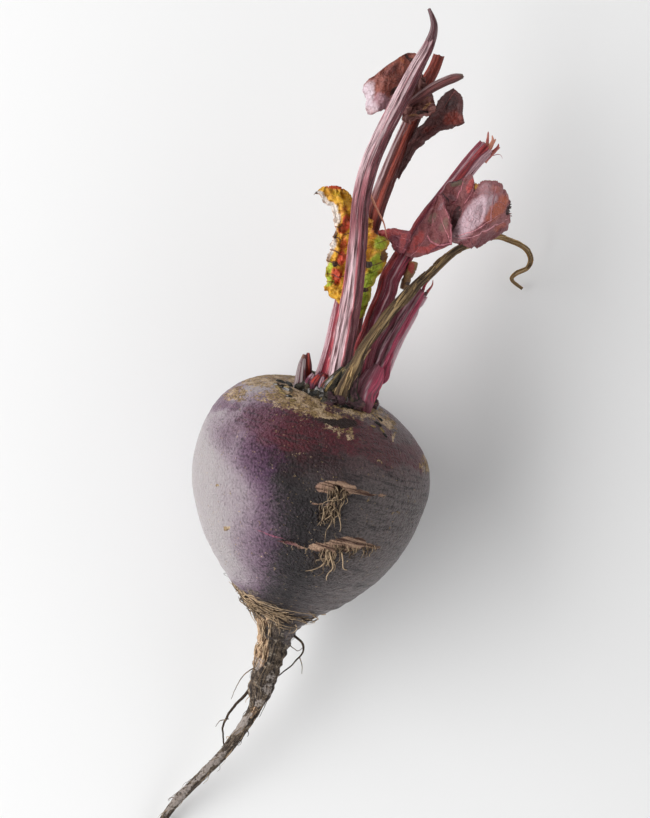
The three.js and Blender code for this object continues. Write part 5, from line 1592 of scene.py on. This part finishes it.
# Long rootlets given one by one: x, y and lift along each, thickness at the foot, tint.
LONG_ROOTLETS = [
    ([(10.2, 2, 0), (10.6, -0.5, 1.6), (10, -3.4, 1.8), (8.8, -6, 1.2)], 0.34, 0.2),
    ([(11.4, 1.4, 0), (11.8, -1.6, 1.4), (11.4, -4.4, 1), (12.6, -7.4, 0.3)], 0.24, 0.5),
    ([(9.4, -4.6, 0.3), (9.8, -8.6, 0.9), (9.2, -12.6, 0.6), (9.9, -16.4, 0.2)], 0.2, 0.45),
    ([(8.6, -4.4, 0.6), (7.8, -7, 1), (7, -9.2, 0.7), (6.2, -11.4, 0.1)], 0.34, 0.35),
    ([(10.6, -5, 0.6), (12.4, -7.6, 0.9), (13.4, -10, 0.4), (13.6, -11.6, 0.1)], 0.18, 0.7),
    ([(11.2, -18, 0.2), (11.4, -20.8, 1.1), (10.4, -23.6, 0.9), (8.4, -25.4, 0.6),
      (6.4, -26.8, 0.1)], 0.34, 0.5),
    ([(11.8, -18.6, 0.4), (13.6, -21.4, 1.2), (14.2, -23.6, 0.9), (13.2, -25.8, 0.6),
      (13.6, -28.2, 0.1)], 0.36, 0.6),
    ([(12.2, -20.4, 0.7), (11.2, -23, 1), (11.6, -25.6, 0.5), (10.6, -27.4, 0.1)], 0.2, 0.3),
    ([(15.8, -17.6, 0.3), (16.6, -20, 0.9), (17.4, -22.4, 0.8), (19.2, -23.4, 0.1)], 0.24, 0.9),
    ([(15, -17.4, 0.3), (15.6, -19.8, 0.8), (15, -21.8, 0.3)], 0.2, 0.5),
]


def tapered(runs, taper=0.4):
    """Hairs of a known run, thickness at the foot and tint."""
    return [(run, (size, size * taper), tint) for run, size, tint in runs]


def scar_hairs(on_skin):
    """Rootlets that hang from the two scars."""
    rng = np.random.default_rng(9)
    hairs = []
    for count, x0, y0, spread, shortest, longest, thickest in TUFTS:
        for k in range(count):
            x = rng.normal(x0, spread)
            y = rng.normal(y0, 0.5) + (x - x0) * 0.15
            run = rng.uniform(shortest, longest)
            sway = rng.normal(0, 0.28) + (x0 - x) * 0.05
            bend = rng.normal(0, 0.13 * run)
            lift = rng.uniform(0.2, 0.3 * run)
            line = [
                on_skin(x, y, -0.4),
                on_skin(x + sway * run * 0.3 + bend, y - run * 0.3, lift),
                on_skin(x + sway * run * 0.7 - bend, y - run * 0.7, lift * 0.8),
                on_skin(x + sway * run, y - run, lift * 0.3),
            ]
            size = thickest * rng.uniform(0.35, 1)
            hairs.append((line, (size, size * 0.35), rng.uniform(0, 0.8)))
    on_line = [([on_skin(*place) for place in run], size, tint) for run, size, tint in LONG_ROOTLETS]
    return hairs + tapered(on_line)


def lie_along(y, angle, drop, sweep, places):
    """A line along the root. Each place is a share of the drop and of the sweep, and a height."""
    line = []
    for down, turn, height in places:
        skin, centre = root_skin(np.array(root_t(y - drop * down)), np.array(angle + sweep * turn))
        line.append(skin + unit(skin - centre) * height)
    return line


def grown(rng, line, sizes, tints, taper=0.4):
    """A hair on the line, of any thickness and tint within their limits."""
    size = rng.uniform(*sizes)
    return line, (size, size * taper), rng.uniform(*tints)


NECK_HAIRS = 230
NECK_STRANDS = 26
TAPROOT_HAIRS = 70
TAPROOT_FLOOR = (-1e3, -1e3, 0.4)  # keeps the tip's hairs over the surface


def neck_hairs():
    """Dry hairs wound round the neck, and the ones along the taproot."""
    rng = np.random.default_rng(21)
    hairs = []
    for k in range(NECK_HAIRS):
        angle = rng.normal(2.3, 0.6) if k % 6 else rng.uniform(0, TURN)
        y = rng.normal(-40.5, 2.2)
        sweep = rng.normal(0, 0.7)
        drop = rng.uniform(-1.5, 4) if k % 4 else rng.uniform(3, 8)
        lift = abs(rng.normal(0.4, 0.7))
        end = 0.1 + lift * rng.uniform(0, 1)
        places = ((0, 0, -0.5), (0.3, 0.35, 0.3 + lift), (0.7, 0.7, 0.2 + lift), (1, 1, end))
        line = lie_along(y, angle, drop, sweep, places)
        hairs.append(grown(rng, line, (0.07, 0.26), (0.05, 1.15)))
    for k in range(NECK_STRANDS):
        y = rng.uniform(-60, -45)
        angle = rng.normal(2.35, 0.4)
        sweep = rng.normal(0, 0.12)
        drop = rng.uniform(4, 9)
        places = ((0, 0, -0.3), (0.4, 1, rng.uniform(0.1, 0.5)), (1, 2, rng.uniform(0, 0.5)))
        line = lie_along(y, angle, drop, sweep, places)
        hairs.append(grown(rng, line, (0.14, 0.34), (0.2, 1.1), taper=0.5))
    for k in range(TAPROOT_HAIRS):
        y = rng.uniform(-128, -50)
        angle = rng.uniform(0, TURN)
        drop = rng.uniform(1.5, 7)
        sweep = rng.normal(0, 0.7)
        lift = abs(rng.normal(0.2, 0.5))
        places = ((0, 0, -0.4), (0.5, 0.5, 0.15 + lift), (1, 1, 0.1 + lift))
        line = [np.maximum(p, TAPROOT_FLOOR) for p in lie_along(y, angle, drop, sweep, places)]
        hairs.append(grown(rng, line, (0.06, 0.2), (0, 0.8)))
    return hairs + tapered(ROOTLET_RUNS)


# Long rootlets of the neck and taproot: places along each, thickness at the foot, tint.
ROOTLET_RUNS = [
    ([(0.8, -69, 20), (-2, -76, 19), (-5, -82, 17), (-6.6, -88, 14), (-6, -92, 12.5),
      (-4.4, -96.5, 11)], 0.6, 0.1),
    ([(4, -50, 26), (9, -52, 25.5), (12, -53.5, 24.5), (13, -56, 23.5), (12.2, -59, 22),
      (10, -63, 21), (4.5, -70.5, 20)], 0.5, 0.15),
    ([(-1.5, -66, 23), (-4.2, -69.5, 21.5), (-5.6, -74, 19), (-6.2, -79, 17.5)], 0.22, 0.3),
    ([(6, -51.5, 26), (8, -55, 25), (11, -56.5, 24), (12.5, -55, 24)], 0.22, 0.3),
    ([(12.4, -58.6, 22.2), (14, -61.5, 21.5), (14.6, -64, 21)], 0.2, 0.4),
    ([(-5.4, -86, 15.4), (-8, -87.5, 14.5), (-9, -90, 13.5)], 0.2, 0.3),
]
# Splinters at the snapped ends of the stalks, told the same way.
STALK_FIBRES = [
    ([(-4.8, 95, 63), (-1.5, 91.5, 59), (1.8, 88, 56), (3.6, 84.5, 54.6), (5.2, 82.5, 53.6)], 0.42, 0.9),
    ([(27.5, 120, 31), (28.5, 124, 31), (27.8, 128.7, 30.4)], 1.2, 0.5),
    ([(28.4, 120, 30), (29.8, 124, 30.4), (30.9, 127.1, 29.8)], 1.3, 0.7),
    ([(29, 119, 29), (31, 122.5, 29.6), (33, 124.9, 29.2)], 1.1, 0.6),
    ([(28, 121, 30.5), (30, 125.5, 31.5), (29.4, 127.8, 31)], 1, 0.9),
    ([(29.4, 120, 29.5), (32, 124, 30.4), (32.2, 125.8, 30.2)], 1, 0.4),
    ([(31, 121.5, 29.2), (33.5, 122.6, 28.6), (34.9, 121.6, 28)], 0.16, 0.1),
    ([(20, 71, 41.5), (20.4, 73.4, 42.4), (21.4, 75, 42.6)], 0.6, 0.2),
    ([(21.6, 71, 40.5), (22.6, 73.6, 41), (22.4, 75.4, 41)], 0.5, 0.3),
    ([(18.6, 71, 41.4), (18.4, 73.8, 42.4), (19.2, 74.6, 42.6)], 0.5, 0.1),
]
SPLINTER_TAPER = 0.15


STRAND_FORM = {
    "depth": 0.45, "ribs": 3, "rib": 0.2, "twist": 5, "steps": 420, "sides": 52, "seed": 33,
    "rough": 0.32, "groove": 0.36,
}
STRAND_BANDS = {
    "pale": [
        (-0.3, -0.1, 0.2, 0.4, -1, 0.16), (-0.2, 0, 0.3, 0.5, 0.16, 0.7),
        (-0.6, -0.3, 0.3, 0.6, 0.7, 2),
    ],
    "deep": [(-3, -2, -0.5, -0.35, -1, 0.2), (0.4, 0.6, 2, 3, -1, 0.3)],
    "warm": [(-2, -1, 1, 2, 0.6, 2)],
}
STRAND_FINISH = ("9a7c54", "c8a878", "4c3a28", "b8883c", "5f4c36", 0.75, 0.8)
STRAND_SHREDS = 120


def strand_shreds():
    """Torn fibres that stand off the withered strand."""
    rng = np.random.default_rng(51)
    read = read_rows(STRAND)
    shreds = []
    for k in range(STRAND_SHREDS):
        start = rng.uniform(0.02, 0.9) ** 1.2
        length = rng.uniform(0.015, 0.05)
        side = rng.uniform(0, TURN)
        lift = rng.uniform(0.3, 0.62)
        line = []
        for share, reach in ((0, 0.42), (0.5, 0.48), (1, lift)):
            t = np.array(start + share * length)
            row = read(t)
            frame_at = framing(heading(read, t))
            line.append(off_axis(row[:3], *frame_at, reach * row[3], side + 0.5 * share, 0.7))
        shreds.append(grown(rng, line, (0.1, 0.26), (0, 1)))
    return shreds


# The bare midrib of the torn leaf.
SPUR_FORM = {"ribs": 5, "rib": 0.06, "seed": 37, "steps": 70, "sides": 48, "jag": 0.06}
SPUR_BANDS = {
    "pale": [(-1.4, -1.2, -0.5, -0.3, 0.1, 0.9)], "deep": [(0.4, 0.7, 2, 3, -1, 2)],
    "dry": [(-2, -1, 1, 2, 0.88, 2)],
}
SPUR_FINISH = ("a85c58", "c8a4a4", "602c2c", "b05040", "a08878")


def add_piece(piece, slot, *nodes):
    """Rides the piece on the root and hides the nodes that it stands for. The slot is not used."""
    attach(piece, "root")
    if nodes:
        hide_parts(*nodes)


# ---------------------------------------------------------------- stage

CAMERA_PLACE = (-0.00101, 0.02481, 0.8)
CAMERA_TURN = math.radians(15)
CAMERA_LENS = 101
SENSOR_WIDTH = 36
WINDOW_PLACE = (-1.2, -0.33, 0.9)
WINDOW_AIM = (0, 0, 0.03)
WINDOW_SIZE = (2.2, 1.05)
WINDOW_POWER = 29
ROOM_SIDE = 1.1
ROOM_ROOF = 0.05
ROOM_EDGE = 0.52
ROOM_TOP = 0.84
FLOOR_REACH = 3


def add_camera():
    """Looks straight down on the root, turned so that the taproot runs to the lower left."""
    data = bpy.data.cameras.new("camera")
    data.sensor_width = SENSOR_WIDTH
    data.lens = CAMERA_LENS
    camera = link("camera", data)
    camera.location = CAMERA_PLACE
    camera.rotation_euler = (0, 0, CAMERA_TURN)
    bpy.context.scene.camera = camera


def add_window():
    """A broad lamp low on the left."""
    data = bpy.data.lights.new("window", "AREA")
    data.shape = "RECTANGLE"
    data.size, data.size_y = WINDOW_SIZE
    data.energy = WINDOW_POWER
    lamp = link("window", data)
    lamp.location = WINDOW_PLACE
    aim = Vector(WINDOW_AIM) - Vector(WINDOW_PLACE)
    lamp.rotation_euler = aim.to_track_quat("-Z", "Y").to_euler()


def add_floor():
    nodes = Finish("pale_floor", 0.85)
    tone = nodes.blend(nodes.mottle(3), "eeeeee", "f2f2f2")
    nodes.feed(nodes.shader["Base Color"], tone)
    mesh = bpy.data.meshes.new("floor")
    far = FLOOR_REACH
    corners = [(-far, -far, 0), (far, -far, 0), (far, far, 0), (-far, far, 0)]
    mesh.from_pydata(corners, [], [(0, 1, 2, 3)])
    mesh.materials.append(nodes.material)
    floor = link("floor", mesh)


def add_room():
    """Pale light from all sides that is darker overhead."""
    world = bpy.data.worlds.new("studio")
    world.use_nodes = True
    nodes = Nodes(world.node_tree)
    direction = nodes.add("ShaderNodeTexCoord").outputs["Generated"]
    height = nodes.add("ShaderNodeSeparateXYZ", {0: direction}).outputs["Z"]
    overhead = nodes.window(height, ROOM_EDGE, ROOM_TOP)
    room = nodes.plus(nodes.times(overhead, ROOM_ROOF - ROOM_SIDE), ROOM_SIDE)
    backdrop = world.node_tree.nodes["Background"]
    backdrop.inputs["Color"].default_value = (1, 1, 1, 1)
    nodes.feed(backdrop.inputs["Strength"], room)
    bpy.context.scene.world = world


bpy.context.scene.view_settings.view_transform = "Standard"
add_camera()
add_floor()
add_room()
add_window()

root = make_root(make_root_finish())
add_piece(root, "root_skin", "swollen_root")
on_skin = make_skin_finder(root)
add_piece(make_crown(on_skin), "crown_cork", "crown")
for node, design in STALKS.items():
    add_piece(make_stalk(node, design), design["slot"], node)

strand_finish = make_stalk_finish("dry_strand", *STRAND_FINISH)
strand_body = stem_body(STRAND, STRAND_BANDS, **STRAND_FORM)
add_piece(new_piece("twisted_strand", strand_finish, *strand_body), "dry_strand", "withered_strand")
shred_finish = make_hair_finish("strand_shreds", "5a4630", "c4a474")
shreds = make_hairs("strand_shreds", strand_shreds(), shred_finish, wander=0.0005, seed=9)
add_piece(shreds, "dry_strand")

blade_finishes = {}
for node, design in BLADES.items():
    add_piece(make_blade(node, design, blade_finishes), design["slot"], node)
spur_finish = make_stalk_finish("bare_midrib", *SPUR_FINISH)
spur_body = stem_body(SPUR, SPUR_BANDS, **SPUR_FORM)
add_piece(new_piece("bare_midrib", spur_finish, *spur_body), "torn_blade")

hair_finish = make_hair_finish("dry_rootlets", "33251b", "bca283")
rootlets = make_hairs("scar_rootlets", scar_hairs(on_skin), hair_finish, wander=0.0008, seed=3)
add_piece(rootlets, "root_skin")
tail_hairs = make_hairs("neck_and_taproot_hairs", neck_hairs(), hair_finish, wander=0.0009, seed=5)
add_piece(tail_hairs, "root_skin")
splinter_finish = make_hair_finish("stalk_splinters", "9c3446", "d08c74", 0.6)
fibres = tapered(STALK_FIBRES, SPLINTER_TAPER)
splinters = make_hairs("stalk_splinters", fibres, splinter_finish, wander=0.0004, seed=7)
add_piece(splinters, "dark_red_stalk")
